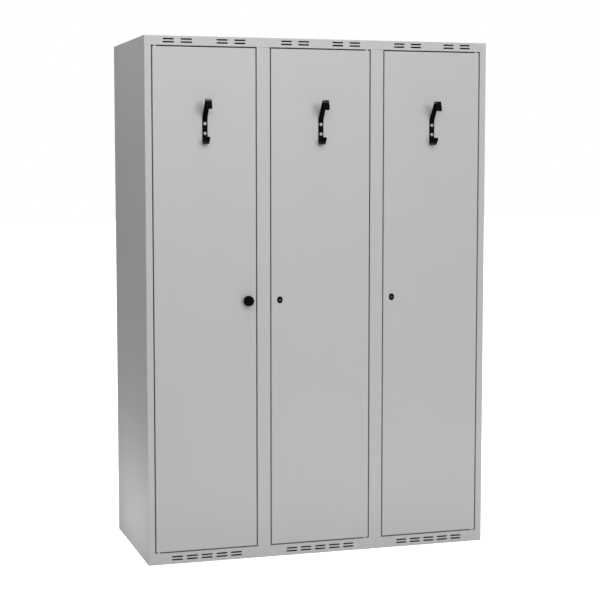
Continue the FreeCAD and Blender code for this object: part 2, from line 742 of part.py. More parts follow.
# ------------------------------------------------------------- door openings
def handed(hand, low, high):
    """A (low, high) pair measured from the hinge side towards the free side.

    hand is 1 for a door hinged on its left and -1 for one hinged on its right.
    """
    return (low, high) if hand > 0 else (f"-({high})", f"-({low})")


def hinge_bushes(section, hand):
    """Nylon bushes in the rails' folds, one above and one below the door."""
    axis = f"-({hand}) * {HINGE_X}"
    solids, bores = [], []
    for name, face, step in (("top", "height - top_rail", 1), ("bottom", "bottom_rail", -1)):
        collar_foot = f"({face}) - collar_height" if step > 0 else face
        sleeve_foot = face if step > 0 else f"({face}) - gauge - bush_sleeve"
        start = (axis, "hinge_setback")
        solids += [
            round_bar(f"{name}_collar", "collar_radius", (*start, collar_foot), "collar_height", "z"),
            round_bar(f"{name}_sleeve", "bush_radius", (*start, sleeve_foot), "gauge + bush_sleeve", "z"),
        ]
        low = f"({sleeve_foot}) - {OVERCUT} - collar_height"
        length = f"gauge + bush_sleeve + 2 * (collar_height + {OVERCUT})"
        bores.append(round_bar(f"{name}_bore", "pin_radius + pin_clearance", (*start, low), length, "z"))
    pair = cut("bush_pair", fuse("bush_blanks", solids), fuse("bush_bores", bores))
    keep(pair, f"hinge_bushes_{section}", section_x(section))


STOP_FACE = "(door_depth + working_gap)"


def stop_levels():
    return [f"({DOOR_MIDDLE} + ({step}) * stop_offset)" for step in (-1, 1)]


def door_stops():
    """Z-shaped stops on the uprights beside the doors' free edges."""
    pieces = []
    tongue_front = f"({STOP_FACE} + buffer_height)"
    edge = "(stile_width - gauge)"
    for section, hand in HANDS.items():
        middle = section_x(section)
        for level in stop_levels():
            up = (f"{level} - stop_width / 2", f"{level} + stop_width / 2")
            foot = (f"{edge} - stile_lip", edge)
            web = (f"{edge} - stop_plate", edge)
            tongue = (f"{edge} - stop_plate", "stile_width + door_gap + stop_tongue")
            spans = (
                (foot, ("stile_depth", "stile_depth + stop_plate")),
                (web, ("stile_depth", f"{tongue_front} + stop_plate")),
                (tongue, (tongue_front, f"{tongue_front} + stop_plate")),
            )
            for (low, high), back in spans:
                reach = handed(hand, f"{PITCH} / 2 - ({high})", f"{PITCH} / 2 - ({low})")
                across = tuple(f"{middle} + ({end})" for end in reach)
                pieces.append(box("stop_leaf", across, back, up))
    keep(fuse("door_stop_group", pieces), "door_stops")


def stop_buffers():
    """Rubber buffers on the tongues of the door stops."""
    buffers = []
    for section, hand in HANDS.items():
        for level in stop_levels():
            across = f"{section_x(section)} + ({hand}) * ({DOOR_HALF} - stop_tongue / 2)"
            start = (across, STOP_FACE, level)
            buffers.append(round_bar("buffer", "buffer_radius", start, "buffer_height", "y"))
    keep(fuse("buffer_group", buffers), "stop_buffers")


# --------------------------------------------------------------------- doors
def door_panel(section, hand):
    """Folded door: front sheet, four returns and an inner lip all round."""
    label = f"door_panel_{section}"
    body = new_body(label)
    across = (f"-{DOOR_HALF}", DOOR_HALF)
    up = (DOOR_FOOT, DOOR_TOP)
    face = sketch_on(body, "XZ_Plane", "face")
    rectangle(face, across, up)
    block = pad(body, face, "door_depth", "block", backwards=True)
    fronts = edges_through(body.Shape, lambda p: near(p.y, "0"))
    fillet(body, block, fronts, "door_round", "front_edges")
    hollow = sketch_on(body, "XZ_Plane", "hollow", "-door_depth")
    inner = [(f"({low}) + door_gauge", f"({high}) - door_gauge") for low, high in (across, up)]
    rectangle(hollow, *inner)
    pocket(body, hollow, "door_depth - door_gauge", "inside", backwards=True)
    lip = sketch_on(body, "XZ_Plane", "lip", "-door_depth")
    rectangle(lip, across, up)
    opening = [(f"({low}) + door_lip", f"({high}) - door_lip") for low, high in (across, up)]
    rectangle(lip, *opening)
    pad(body, lip, "door_gauge", "lips")
    front_holes = sketch_on(body, "XZ_Plane", "front_holes")
    for step in (-1, 1):
        circle(front_holes, "0", f"{HOOK_Z} + ({step}) * hook_pitch / 2", "stud_radius + fit_slack")
    circle(front_holes, f"({hand}) * {LOCK_X}", DOOR_MIDDLE, "barrel_radius + fit_slack")
    pocket(body, front_holes, through("door_gauge"), "front_bores", both=True)
    pin_holes = sketch_on(body, "XY_Plane", "pin_holes", DOOR_MIDDLE)
    circle(pin_holes, f"-({hand}) * {HINGE_X}", "hinge_setback", "pin_radius + fit_slack")
    pocket(body, pin_holes, f"{DOOR_TOP} - {DOOR_FOOT} + 2 * {OVERCUT}", "pin_bores", both=True)
    keep(body, label, section_x(section))


def door_stiffener(section):
    """Hat-shaped strip up the middle of the door, behind its front sheet."""
    label = f"door_stiffener_{section}"
    body = new_body(label)
    plan = sketch_on(body, "XY_Plane", "hat", f"{DOOR_FOOT} + stiffener_end")
    crown = "stiffener_crown / 2"
    toe = f"({crown} + stiffener_foot - door_gauge)"
    right = [
        (toe, "door_gauge"),
        (toe, "2 * door_gauge"),
        (crown, "2 * door_gauge"),
        (crown, "door_gauge + stiffener_depth"),
    ]
    inner = [
        (f"{crown} - door_gauge", "stiffener_depth"),
        (f"{crown} - door_gauge", "door_gauge"),
    ]
    left = [(f"-({across})", back) for across, back in reversed(right)]
    inner_left = [(f"-({across})", back) for across, back in reversed(inner)]
    polygon(plan, right + left + inner_left + inner)
    pad(body, plan, f"{DOOR_TOP} - {DOOR_FOOT} - 2 * stiffener_end", "strip")
    keep(body, label, section_x(section))


def door_ends():
    """The door's two ends: name, height of the end, and the way out of the door."""
    return (("top", DOOR_TOP, 1), ("bottom", DOOR_FOOT, -1))


def ordered(step, near_end, far_end):
    """A (low, high) pair of heights from two distances along step."""
    return (near_end, far_end) if step > 0 else (far_end, near_end)


def hinge_brackets(section, hand):
    """Angle plates inside the door's hinge corners, one behind each end."""
    plates, holes = [], []
    corner = f"({DOOR_HALF} - door_gauge)"
    for name, face, step in door_ends():
        back = ("door_gauge", "door_depth - door_gauge")
        inside = f"({face} - ({step}) * door_gauge)"
        under = f"({inside} - ({step}) * bracket_plate)"
        foot = f"({inside} - ({step}) * bracket_leg)"
        along = handed(hand, f"-{corner}", f"bracket_length - {corner}")
        leg = handed(hand, f"-{corner}", f"bracket_plate - {corner}")
        plates += [
            box(f"{name}_plate", along, back, ordered(step, under, inside)),
            box(f"{name}_leg", leg, back, ordered(step, foot, inside)),
        ]
        low = f"({ordered(step, under, inside)[0]}) - {OVERCUT}"
        start = (f"-({hand}) * {HINGE_X}", "hinge_setback", low)
        length = f"bracket_plate + 2 * {OVERCUT}"
        holes.append(round_bar(f"{name}_hole", "pin_radius + fit_slack", start, length, "z"))
    pair = cut("bracket_pair", fuse("bracket_blanks", plates), fuse("bracket_holes", holes))
    keep(pair, f"hinge_brackets_{section}", section_x(section))


def hinge_pins(section, hand):
    """Pivot pins: head inside the bracket, shoulder on the door's end."""
    pieces = []
    axis = (f"-({hand}) * {HINGE_X}", "hinge_setback")
    for name, face, step in door_ends():
        seat = f"({face} - ({step}) * (door_gauge + bracket_plate))"
        head = f"({seat} - ({step}) * bracket_plate)"
        shoulder = f"({face} + ({step}) * shoulder_height)"
        tip = f"({face} + ({step}) * (door_gap + pin_reach))"
        for part, radius, start, end in (
            ("head", "shoulder_radius", head, seat),
            ("shoulder", "shoulder_radius", face, shoulder),
            ("shank", "pin_radius", seat, tip),
        ):
            low, high = ordered(step, start, end)
            pieces.append(round_bar(f"{name}_{part}", radius, (*axis, low), f"({high}) - ({low})", "z"))
    keep(fuse("pin_pair", pieces), f"hinge_pins_{section}", section_x(section))


# ---------------------------------------------------------------- coat hooks
def coat_hook(section):
    """Double coat hook bent from one crowned bar.

    The path runs along the bar's flat back, from the lower tip, down round the
    lower hook, up the door, out along the arm and over to the upper lip.  The
    body's own origin lies on the door's face between the two rivets.
    """
    label = f"coat_hook_{section}"
    body = new_body(label)
    corners = [
        ("-hook_toe", "hook_toe_rise - hook_foot"),
        ("-hook_heel", "-hook_foot"),
        ("0", "-hook_foot"),
        ("0", "hook_lift"),
        ("-hook_shoulder", "hook_top"),
        ("-hook_nose", "hook_top"),
        ("-hook_reach", "hook_top - hook_lip"),
    ]
    path = sketch_on(body, "YZ_Plane", "path")
    bent_line(path, corners, ["hook_cradle", "hook_cradle", "hook_sweep", "hook_bend", "hook_bend"])
    section_sketch = sketch_on(body, "XY_Plane", "bar_section", "hook_toe_rise - hook_foot")
    lean = "atan((hook_toe - hook_heel) / hook_toe_rise)"
    section_sketch.AttachmentOffset = FreeCAD.Placement(
        FreeCAD.Vector(0, 0, 0), FreeCAD.Rotation(FreeCAD.Vector(1, 0, 0), 30)
    )
    bind(section_sketch, {
        "AttachmentOffset.Base.y": "-hook_toe",
        "AttachmentOffset.Base.z": "hook_toe_rise - hook_foot",
        "AttachmentOffset.Rotation.Angle": lean,
    })
    crowned_section(section_sketch)
    doc.recompute()
    bar = body.newObject("PartDesign::AdditivePipe", "bar")
    bar.Profile = section_sketch
    bar.Spine = (path, [])
    doc.recompute()
    seats = sketch_on(body, "XZ_Plane", "seat_plan", "hook_thick - hook_crown")
    holes = sketch_on(body, "XZ_Plane", "hole_plan")
    for step in (-1, 1):
        level = f"({step}) * hook_pitch / 2"
        circle(seats, "0", level, "stud_head + fit_slack")
        circle(holes, "0", level, "stud_radius + fit_slack")
    pocket(body, seats, f"hook_crown + {OVERCUT}", "rivet_seats", backwards=True)
    pocket(body, holes, through("hook_thick"), "rivet_holes", both=True)
    for name, tip in (("lower_tip", corners[0]), ("upper_tip", corners[-1])):
        fillet(body, body.Tip, tip_corners(body.Shape, tip), "hook_tip_round", name)
    keep(body, label, section_x(section), HOOK_Z)


def tip_corners(shape, tip):
    """Names of the edges through the bar's thickness at its end at a (back, up) tip."""
    end = spot_of(tip)
    reach = number("hook_thick")
    names = []
    for side in (-1, 1):
        face = f"({side}) * hook_width / 2"
        names += edges_through(
            shape,
            lambda p: near(p.x, face) and math.hypot(p.y - end.x, p.z - end.y) < reach,
        )
    return names


def crowned_section(sketch):
    """Cross-section of the hook's bar: flat back, square sides, crowned face."""
    half, side, crown = "hook_width / 2", "(hook_thick - hook_crown)", "hook_thick"
    back_left, back_right = (f"-{half}", "0"), (half, "0")
    front_left, front_right = (f"-{half}", side), (half, side)
    spots = [spot_of(corner) for corner in (front_left, back_left, back_right, front_right)]
    for start, end in zip(spots, spots[1:]):
        sketch.addGeometry(Part.LineSegment(start, end))
    top = spot_of(("0", crown))
    sketch.addGeometry(Part.Arc(spots[3], top, spots[0]))
    for item, corner in ((0, front_left), (1, back_left), (2, back_right)):
        fix_point(sketch, item, 1, *corner)
    fix_point(sketch, 2, 2, *front_right)
    for item in (0, 1):
        sketch.addConstraint(Sketcher.Constraint("Coincident", item, 2, item + 1, 1))
    sketch.addConstraint(Sketcher.Constraint("Coincident", 2, 2, 3, 1))
    sketch.addConstraint(Sketcher.Constraint("Coincident", 3, 2, 0, 1))
    rise = "hook_crown"
    radius = f"((hook_width / 2) ^ 2 + {rise} ^ 2) / (2 * {rise})"
    rule = Sketcher.Constraint("Radius", 3, number(radius))
    drive(sketch, sketch.addConstraint(rule), radius)


def hook_rivets(section):
    """The hook's two rivets: domed head, shank, and formed end in the door."""
    pieces = []
    seat = "-(hook_thick - hook_crown)"
    for step in (-1, 1):
        level = f"({step}) * hook_pitch / 2"
        reach = "hook_thick - hook_crown + door_gauge"
        pieces += [
            dome("stud_dome", "stud_head", "stud_dome", ("0", seat, level), "front"),
            round_bar("stud_shank", "stud_radius", ("0", seat, level), reach, "y"),
            round_bar("stud_tail", "stud_tail_radius", ("0", "door_gauge", level), "stud_tail", "y"),
        ]
    keep(fuse("stud_pair", pieces), f"hook_rivets_{section}", section_x(section), HOOK_Z)


# ------------------------------------------------------------ locks and knob
def lock_place(section, hand):
    """Where a lock or knob goes: its own origin is on the door's front face."""
    return f"({section_x(section)} + ({hand}) * {LOCK_X})", DOOR_MIDDLE


def hexagon(sketch, flats):
    """A hexagon round the sketch's origin, from its width across flats."""
    side, half = f"({flats}) / sqrt(3)", f"({flats}) / 2"
    right = [(f"{side} / 2", half), (side, "0"), (f"{side} / 2", f"-{half}")]
    left = [(f"-{across}", up) for across, up in reversed(right)]
    polygon(sketch, right + left)


def fixing_nut(label, section, hand):
    """Hexagon nut that holds a barrel against the inside of the door."""
    body = new_body(label)
    plan = sketch_on(body, "XZ_Plane", "flats", "-door_gauge")
    hexagon(plan, "nut_flats")
    circle(plan, "0", "0", "barrel_radius + fit_slack")
    pad(body, plan, "nut_height", "nut", backwards=True)
    keep(body, label, *lock_place(section, hand))


def turned(name, profile, bore=None):
    """A piece turned about y, from (radius, start, end) steps, with a bore."""

    def ring(tag, radius, start, end):
        return round_bar(f"{name}_{tag}", radius, ("0", start, "0"), f"({end}) - ({start})", "y")

    rings = [ring("step", *row) for row in profile]
    whole = fuse(f"{name}_steps", rings)
    if bore is None:
        return whole
    return cut(f"{name}_bored", whole, ring("bore", *bore))


def lock_housing(section, hand):
    """Oval bezel with the threaded barrel behind it."""
    label = f"lock_housing_{section}"
    body = new_body(label)
    oval = sketch_on(body, "XZ_Plane", "oval")
    round_ended(oval, ("0", "0"), "bezel_height", "bezel_width", tall=True)
    bezel = pad(body, oval, "bezel_thick", "bezel")
    rim = edges_through(body.Shape, lambda p: near(p.y, "-bezel_thick"))
    fillet(body, bezel, rim, "bezel_round", "bezel_edge")
    barrel = sketch_on(body, "XZ_Plane", "barrel_plan")
    circle(barrel, "0", "0", "barrel_radius")
    pad(body, barrel, "barrel_length", "barrel", backwards=True)
    nose = sketch_on(body, "XZ_Plane", "nose_plan")
    circle(nose, "0", "0", "plug_nose + turn_clearance")
    pocket(body, nose, through("bezel_thick"), "nose_bore", both=True)
    bore = sketch_on(body, "XZ_Plane", "bore_plan")
    circle(bore, "0", "0", "plug_radius + turn_clearance")
    pocket(body, bore, f"barrel_length + {OVERCUT}", "plug_bore")
    keep(body, label, *lock_place(section, hand))


def screw_bore():
    """The tapped hole in the end of a plug or spindle."""
    bottom = "cam_setback - screw_bite - screw_run_out"
    return ("screw_radius + turn_clearance", bottom, f"cam_setback + {OVERCUT}")


def lock_plug(section, hand):
    """Plug with its key slot, keeper collar and square-faced end."""
    keeper = "barrel_length + working_gap"
    steps = [
        ("plug_nose", "-bezel_thick - plug_proud", "working_gap"),
        ("plug_radius", "working_gap", "cam_setback"),
        ("keeper_radius", keeper, f"{keeper} + keeper_height"),
    ]
    blank = turned("plug", steps, screw_bore())
    slot = box(
        "key_slot",
        ("-key_slot / 2", "key_slot / 2"),
        (f"-bezel_thick - {OVERCUT}", "key_depth - bezel_thick"),
        ("-key_blade / 2", "key_blade / 2"),
    )
    keep(cut("plug_slotted", blank, slot), f"lock_plug_{section}", *lock_place(section, hand))


def knob_bush(section, hand):
    """Rose and threaded bush that carry the knob's spindle."""
    steps = [
        ("rose_radius", "-rose_height", "0"),
        ("barrel_radius", "0", "barrel_length"),
    ]
    ends = (f"-rose_height - {OVERCUT}", f"barrel_length + {OVERCUT}")
    bore = ("spindle_radius + turn_clearance", *ends)
    keep(turned("knob_bush", steps, bore), "knob_bush", *lock_place(section, hand))


def knob(section, hand):
    """Round grip, turned about y, with a blind bore for its spindle."""
    body = new_body("knob")
    back = "(rose_height + working_gap)"
    profile = sketch_on(body, "YZ_Plane", "half_profile")
    outline = [
        (f"-{back}", "0"),
        (f"-{back}", "knob_neck"),
        ("-knob_belly", "knob_radius"),
        ("-knob_reach", "knob_face"),
        ("-knob_reach", "0"),
    ]
    polygon(profile, outline)
    grip = body.newObject("PartDesign::Revolution", "grip")
    grip.Profile = profile
    grip.ReferenceAxis = (profile, ["H_Axis"])
    bind(grip, {"Angle": "360"})
    doc.recompute()
    for place, radius, name in (
        ("-knob_reach", "knob_round", "front_edge"),
        ("-knob_belly", "knob_round", "belly"),
    ):
        rim = edges_at(body.Shape, place)
        fillet(body, body.Tip, rim, radius, name)
    bore = sketch_on(body, "XZ_Plane", "bore_plan", back)
    circle(bore, "0", "0", "spindle_radius + turn_clearance")
    pocket(body, bore, "spindle_grip", "spindle_bore", backwards=True)
    keep(body, "knob", *lock_place(section, hand))


def edges_at(shape, back):
    """Names of the full circles that lie at one distance from the door."""
    names = []
    for place, edge in enumerate(shape.Edges, start=1):
        closed = len(edge.Vertexes) == 1
        if closed and near(edge.BoundBox.YMin, back) and near(edge.BoundBox.YMax, back):
            names.append(f"Edge{place}")
    return names


def knob_spindle(section, hand):
    """Spindle from the knob to the cam, kept in by a collar."""
    keeper = "barrel_length + working_gap"
    steps = [
        ("spindle_radius", "-rose_height - working_gap - spindle_grip", "cam_setback"),
        ("keeper_radius", keeper, f"{keeper} + keeper_height"),
    ]
    keep(turned("spindle", steps, screw_bore()), "knob_spindle", *lock_place(section, hand))


def latch_cam(section, hand):
    """Flat latch lever, upright when the door is free to open."""
    label = f"latch_cam_{section}"
    body = new_body(label)
    plan = sketch_on(body, "XZ_Plane", "lever", "-cam_setback")
    middle = ("0", "(cam_length - cam_width / 2) / 2")
    round_ended(plan, middle, "cam_length + cam_width / 2", "cam_width", tall=True)
    circle(plan, "0", "0", "screw_radius + fit_slack")
    pad(body, plan, "cam_plate", "plate", backwards=True)
    keep(body, label, *lock_place(section, hand))


def cam_screw(section, hand):
    """Socket-head screw that holds the cam."""
    seat = "cam_setback + cam_plate"
    steps = [
        ("screw_radius", "cam_setback - screw_bite", seat),
        ("screw_head", seat, f"{seat} + screw_cap"),
    ]
    blank = turned("screw", steps)
    key = doc.addObject("Part::Prism", "hexagon_key")
    key.Polygon = 6
    key.Placement.Rotation = FreeCAD.Rotation(FreeCAD.Vector(1, 0, 0), -90)
    bind(key, {
        "Circumradius": "socket_key",
        "Height": "screw_cap",
        "Placement.Base.y": f"{seat} + screw_cap - socket_depth",
    })
    keep(cut("screw_keyed", blank, key), f"cam_screw_{section}", *lock_place(section, hand))


# ------------------------------------------------------------------ assembly
def check_and_write():
    """Stop on any failed object, then write one STEP file per sub-part."""
    doc.recompute()
    for thing in doc.Objects:
        if "Invalid" in thing.State or "Error" in thing.State:
            raise RuntimeError(f"{thing.Label} failed: {thing.State}")
    for thing in sub_parts:
        if thing.Shape.isNull() or not thing.Shape.isValid():
            raise RuntimeError(f"{thing.Label} has no valid shape")
    os.makedirs("parts", exist_ok=True)
    for thing in sub_parts:
        thing.Shape.exportStep(f"parts/{thing.Label}.step")
        count = len(thing.Shape.Solids)
        print(f"{thing.Label}: {count} solid(s), {thing.Shape.Volume / 1000:.2f} cm3")


fill_sheet()

# Which side each door hangs on: 1 is the left, -1 the right.
HANDS = {section: 1 if section == 1 else -1 for section in range(1, int(number("sections")) + 1)}

side_panel("side_panel_left", 1)
side_panel("side_panel_right", -1)
TOP_ROW = [("pair", "top_slot_pitch", "top_slots"), ("groups", "top_group_pitch", "top_groups")]
BOTTOM_ROW = [("row", "bottom_slot_pitch", "bottom_slots")]
cross_panel("roof_panel", "height", -1, "top_rail", "top_slot_drop", TOP_ROW)
cross_panel("floor_panel", "0", 1, "bottom_rail", "bottom_slot_rise", BOTTOM_ROW)
back_panel()
door_stops()
stop_buffers()
rail_rivets()
for wall in list(HANDS)[:-1]:
    partition(wall)
    stile_angle(wall)
for section, hand in HANDS.items():
    hanger_rail(section)
    rail_sockets(section)
    hinge_bushes(section, hand)
    door_panel(section, hand)
    door_stiffener(section)
    hinge_brackets(section, hand)
    hinge_pins(section, hand)
    coat_hook(section)
    hook_rivets(section)
    latch_cam(section, hand)
    cam_screw(section, hand)
    if section == 1:
        knob_bush(section, hand)
        fixing_nut("knob_nut", section, hand)
        knob(section, hand)
        knob_spindle(section, hand)
    else:
        lock_housing(section, hand)
        fixing_nut(f"lock_nut_{section}", section, hand)
        lock_plug(section, hand)

check_and_write()
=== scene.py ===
# %% [markdown]
# # A sheet-steel locker, finished in Blender
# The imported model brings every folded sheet, hinge pin, hook and lock in its place and at its real
# size. This lesson leaves those shapes as they are. It gives each one the finish of the real
# cabinet, adds the small turned and moulded details that only the eye needs, and sets the locker
# in plain studio light. The first cell loads the model as a fixed frame to work around.

# %% Load the locker
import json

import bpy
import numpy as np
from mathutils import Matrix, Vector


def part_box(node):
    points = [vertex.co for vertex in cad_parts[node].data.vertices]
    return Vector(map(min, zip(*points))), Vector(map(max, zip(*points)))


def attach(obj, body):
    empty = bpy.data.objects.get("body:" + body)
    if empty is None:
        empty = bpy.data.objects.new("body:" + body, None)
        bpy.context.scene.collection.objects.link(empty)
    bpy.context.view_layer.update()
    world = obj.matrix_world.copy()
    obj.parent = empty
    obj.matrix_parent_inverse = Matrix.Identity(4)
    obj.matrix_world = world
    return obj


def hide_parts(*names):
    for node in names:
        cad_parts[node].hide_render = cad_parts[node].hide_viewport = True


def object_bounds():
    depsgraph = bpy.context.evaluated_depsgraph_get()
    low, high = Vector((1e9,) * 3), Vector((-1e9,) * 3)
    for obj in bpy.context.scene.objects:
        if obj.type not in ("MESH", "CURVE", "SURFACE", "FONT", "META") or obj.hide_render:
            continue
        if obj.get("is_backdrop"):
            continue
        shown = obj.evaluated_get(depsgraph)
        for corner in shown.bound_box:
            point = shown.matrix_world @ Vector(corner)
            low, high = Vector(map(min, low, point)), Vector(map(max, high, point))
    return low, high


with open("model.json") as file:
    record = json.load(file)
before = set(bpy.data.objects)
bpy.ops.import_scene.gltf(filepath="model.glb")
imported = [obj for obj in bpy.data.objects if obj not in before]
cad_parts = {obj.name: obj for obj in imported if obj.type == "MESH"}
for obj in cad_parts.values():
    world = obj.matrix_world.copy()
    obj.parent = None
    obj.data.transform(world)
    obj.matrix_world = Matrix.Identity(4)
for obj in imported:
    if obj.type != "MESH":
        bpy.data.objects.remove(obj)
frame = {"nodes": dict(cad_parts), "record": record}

# %% [markdown]
# ## Sizes to work from
# The places of the added details and of the worn spots start from boxes that the model gives, so
# they follow it if it moves a lock or widens a door. What a box can't tell, such as a barrel's
# radius, is a named value here. Lengths in the patterns are given in millimetres, because that is
# how a maker thinks about orange peel and rolled lines, while Blender works in metres.

MM = 0.001
DOORS = (1, 2, 3)
model_low, model_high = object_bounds()
model_size = model_high - model_low


def middle(node):
    """Centre of a node's box, in metres."""
    low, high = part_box(node)
    return (low + high) / 2


section_middle = {door: middle(f"door_panel_{door}").x for door in DOORS}
section_width = section_middle[2] - section_middle[1]
front_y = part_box("door_panel_1")[0].y
print("the locker measures", [round(side / MM) for side in model_size], "mm, hooks included")
print("section width", round(section_width / MM), "mm, front plane at", round(front_y / MM, 1), "mm")

# %% [markdown]
# ## Writing shader maths as Python
# A material is a graph of small nodes. Wired by hand, a graph of thirty nodes hides the few lines
# of arithmetic that it stands for. So one small class wraps a node's output and lets + - * build
# the Math nodes, with a number on either side. One method makes every other kind of node. Numbers
# alone never reach the graph: Python works them out first.


# %% A wire between shader nodes
class Wire:
    """The output of one shader node. Arithmetic on wires adds Math nodes to their material."""

    def __init__(self, tree, socket=None):
        self.tree = tree
        self.socket = socket

    def node(self, kind, settings, values, output=0):
        """Adds one node: its settings and ramp stops first, then a value or a wire on each socket."""
        made = self.tree.nodes.new("ShaderNode" + kind)
        for name, setting in settings.items():
            if name == "stops":
                ramp = made.color_ramp.elements
                while len(ramp) < len(setting):
                    ramp.new(1.0)
                for stop, (position, colour) in zip(ramp, setting):
                    stop.position = position
                    stop.color = colour
            else:
                setattr(made, name, setting)
        for name, value in values.items():
            if isinstance(value, Wire):
                self.tree.links.new(value.socket, made.inputs[name])
            else:
                made.inputs[name].default_value = value
        return Wire(self.tree, made.outputs[output])

    def math(self, operation, *others):
        """A Math node on this wire, with the other values it needs."""
        return self.node("Math", {"operation": operation}, dict(enumerate((self, *others))))

    def __add__(self, other):
        return self.math("ADD", other)

    def __sub__(self, other):
        return self.math("SUBTRACT", other)

    def __rsub__(self, other):
        return self.math("MULTIPLY_ADD", -1.0, other)

    def __mul__(self, other):
        return self.math("MULTIPLY", other)

    __radd__ = __add__
    __rmul__ = __mul__


print("wires understand + - * and take numbers on either side")

# %% [markdown]
# ## The words the finishes are written in
# Each finish is said in a few words: where a point is, how far it is from a line or a centre,
# noise of a given grain, and a soft step between two values. They read Object coordinates. The
# node objects sit at the origin, so those are the locker's own coordinates, and a pattern stays
# with its piece when a door opens.


# %% Places, noise and soft steps
def start_finish(name):
    """A new material: the blank wire to begin from and its Principled shader."""
    material = bpy.data.materials.new(name)
    material.use_nodes = True
    shader = material.node_tree.nodes["Principled BSDF"]
    return material, Wire(material.node_tree), shader


def place_in_mm(blank, centre=(0, 0, 0), stretch=(1, 1, 1)):
    """Object coordinates in millimetres from a centre given in metres, each axis stretched."""
    here = blank.node("TexCoord", {}, {}, "Object")
    scale = [factor / MM for factor in stretch]
    shift = [-scale[axis] * centre[axis] for axis in range(3)]
    return blank.node("Mapping", {}, {"Vector": here, "Scale": scale, "Location": shift})


def axes(place):
    """The three separate coordinates of a place."""
    return [place.node("SeparateXYZ", {}, {0: place}, axis) for axis in "XYZ"]


def noise(place, grain, detail=2.0, roughness=0.5):
    """Smooth noise from 0 to 1 whose features are about one grain, in millimetres, across."""
    sockets = {"Vector": place, "Scale": 1 / grain, "Detail": detail, "Roughness": roughness}
    return place.node("TexNoise", {}, sockets, "Fac")


def soft_step(value, low, high):
    """0 below low and 1 above high, with an S-curve between; low may be the larger of the two."""
    sockets = {"Value": value, "From Min": low, "From Max": high}
    return value.node("MapRange", {"interpolation_type": "SMOOTHSTEP"}, sockets, "Result")


def tint(share, colour_a, colour_b):
    """Colour a where the share is 0 and colour b where it is 1."""
    return share.node("Mix", {"data_type": "RGBA"}, {0: share, 6: colour_a, 7: colour_b}, 2)


def relief(height_in_mm):
    """A surface normal bent by a height field given in millimetres."""
    return height_in_mm.node("Bump", {}, {"Height": height_in_mm, "Distance": MM}, "Normal")


def length_of(a, b):
    """Distance from the origin in the plane of two coordinates."""
    return (a * a + b * b).math("SQRT")


def connect(shader, inputs):
    """Feeds the shader's sockets from wires, or sets them where a plain number or colour is given."""
    for name, value in inputs.items():
        socket = shader.inputs[name]
        if isinstance(value, Wire):
            value.tree.links.new(value.socket, socket)
        else:
            socket.default_value = value


print("finish words ready")

# %% [markdown]
# ## Powder coat
# The cabinet is sprayed with dry polyester powder and baked. The film flows into an orange peel:
# soft bumps two to three millimetres across and about a fiftieth of a millimetre high, with a
# finer grain on top. Large flat sheets are never quite flat either, so a slow wave about as long
# as a forearm bends the highlights. A painted picture could show all this, but it would not keep
# its scale from a rivet head to a two-metre wall, so noises of three sizes are used. Hands polish
# the coat near the lock and dust dulls it near the floor, so roughness drifts with place.

# %% Mix the powder coat
COAT_LIGHT = (0.505, 0.516, 0.509, 1)
COAT_DEEP = (0.487, 0.498, 0.491, 1)
PEEL_GRAIN = 2.6
PEEL_HEIGHT = 0.022
FINE_GRAIN = 0.8
FINE_HEIGHT = 0.006
SHEET_WAVE = 320.0
SHEET_BOW = 0.35
CLOUD_GRAIN = 240.0
COAT_ROUGHNESS = 0.40
COAT_MIRROR = 0.42
DUST_TOP = 260.0
DUST_GRAIN = 90.0
DUST_DULLING = 0.08
HAND_NEAR = 25.0
HAND_FAR = 130.0
HAND_GRAIN = 22.0
HAND_POLISH = 0.10


def powder_coat(name, handled=None):
    """Light grey powder coat, a little glossier round a point that hands touch.

    Roughness is a base value plus a share of the clouds and the peel, plus the dust near the floor,
    minus the polish near the hands.
    """
    material, blank, shader = start_finish(name)
    place = place_in_mm(blank)
    height_over_floor = axes(place)[2]
    peel = noise(place, PEEL_GRAIN, detail=1.0)
    fine = noise(place, FINE_GRAIN, detail=0.0)
    cloud = noise(place, CLOUD_GRAIN, detail=3.0)
    wave = noise(place, SHEET_WAVE, detail=0.0)
    height = peel * PEEL_HEIGHT + fine * FINE_HEIGHT + wave * SHEET_BOW
    patches = soft_step(noise(place, DUST_GRAIN, detail=4.0), 0.4, 0.8)
    dust = soft_step(height_over_floor, DUST_TOP, 0.0) * patches
    roughness = COAT_ROUGHNESS + cloud * 0.06 + peel * 0.03 + dust * DUST_DULLING
    if handled:
        near = place_in_mm(blank, centre=handled)
        distance = blank.node("VectorMath", {"operation": "LENGTH"}, {0: near}, "Value")
        fingers = soft_step(noise(place, HAND_GRAIN, detail=4.0), 0.35, 0.75)
        touched = soft_step(distance, HAND_FAR, HAND_NEAR) * fingers
        roughness = roughness - touched * HAND_POLISH
    connect(
        shader,
        {
            "Base Color": tint(cloud * 0.7 + fine * 0.3, COAT_DEEP, COAT_LIGHT),
            "Roughness": roughness,
            "Normal": relief(height),
            "Specular IOR Level": COAT_MIRROR,
        },
    )
    return material


print("orange peel", PEEL_GRAIN, "mm across and", PEEL_HEIGHT, "mm high, waves", SHEET_WAVE, "mm long")

# %% [markdown]
# ## Lacquer, moulded plastic and rubber
# The hooks are dipped in matt black lacquer, and coats rub it bright where they lie: over the top
# of the arch and in the lower hook. That shine could be a second material cut along a line, but
# rubbing has no edge, so it is a clear coat whose weight follows the height. The knob and the
# lock's bezel are moulded, and their mould was spark-eroded, so the surface is a dense fine grain
# that gives almost no mirror. Rubber is rougher still and greys with bloom. All three are dark,
# so their look is in how the light breaks up, not in their colour.


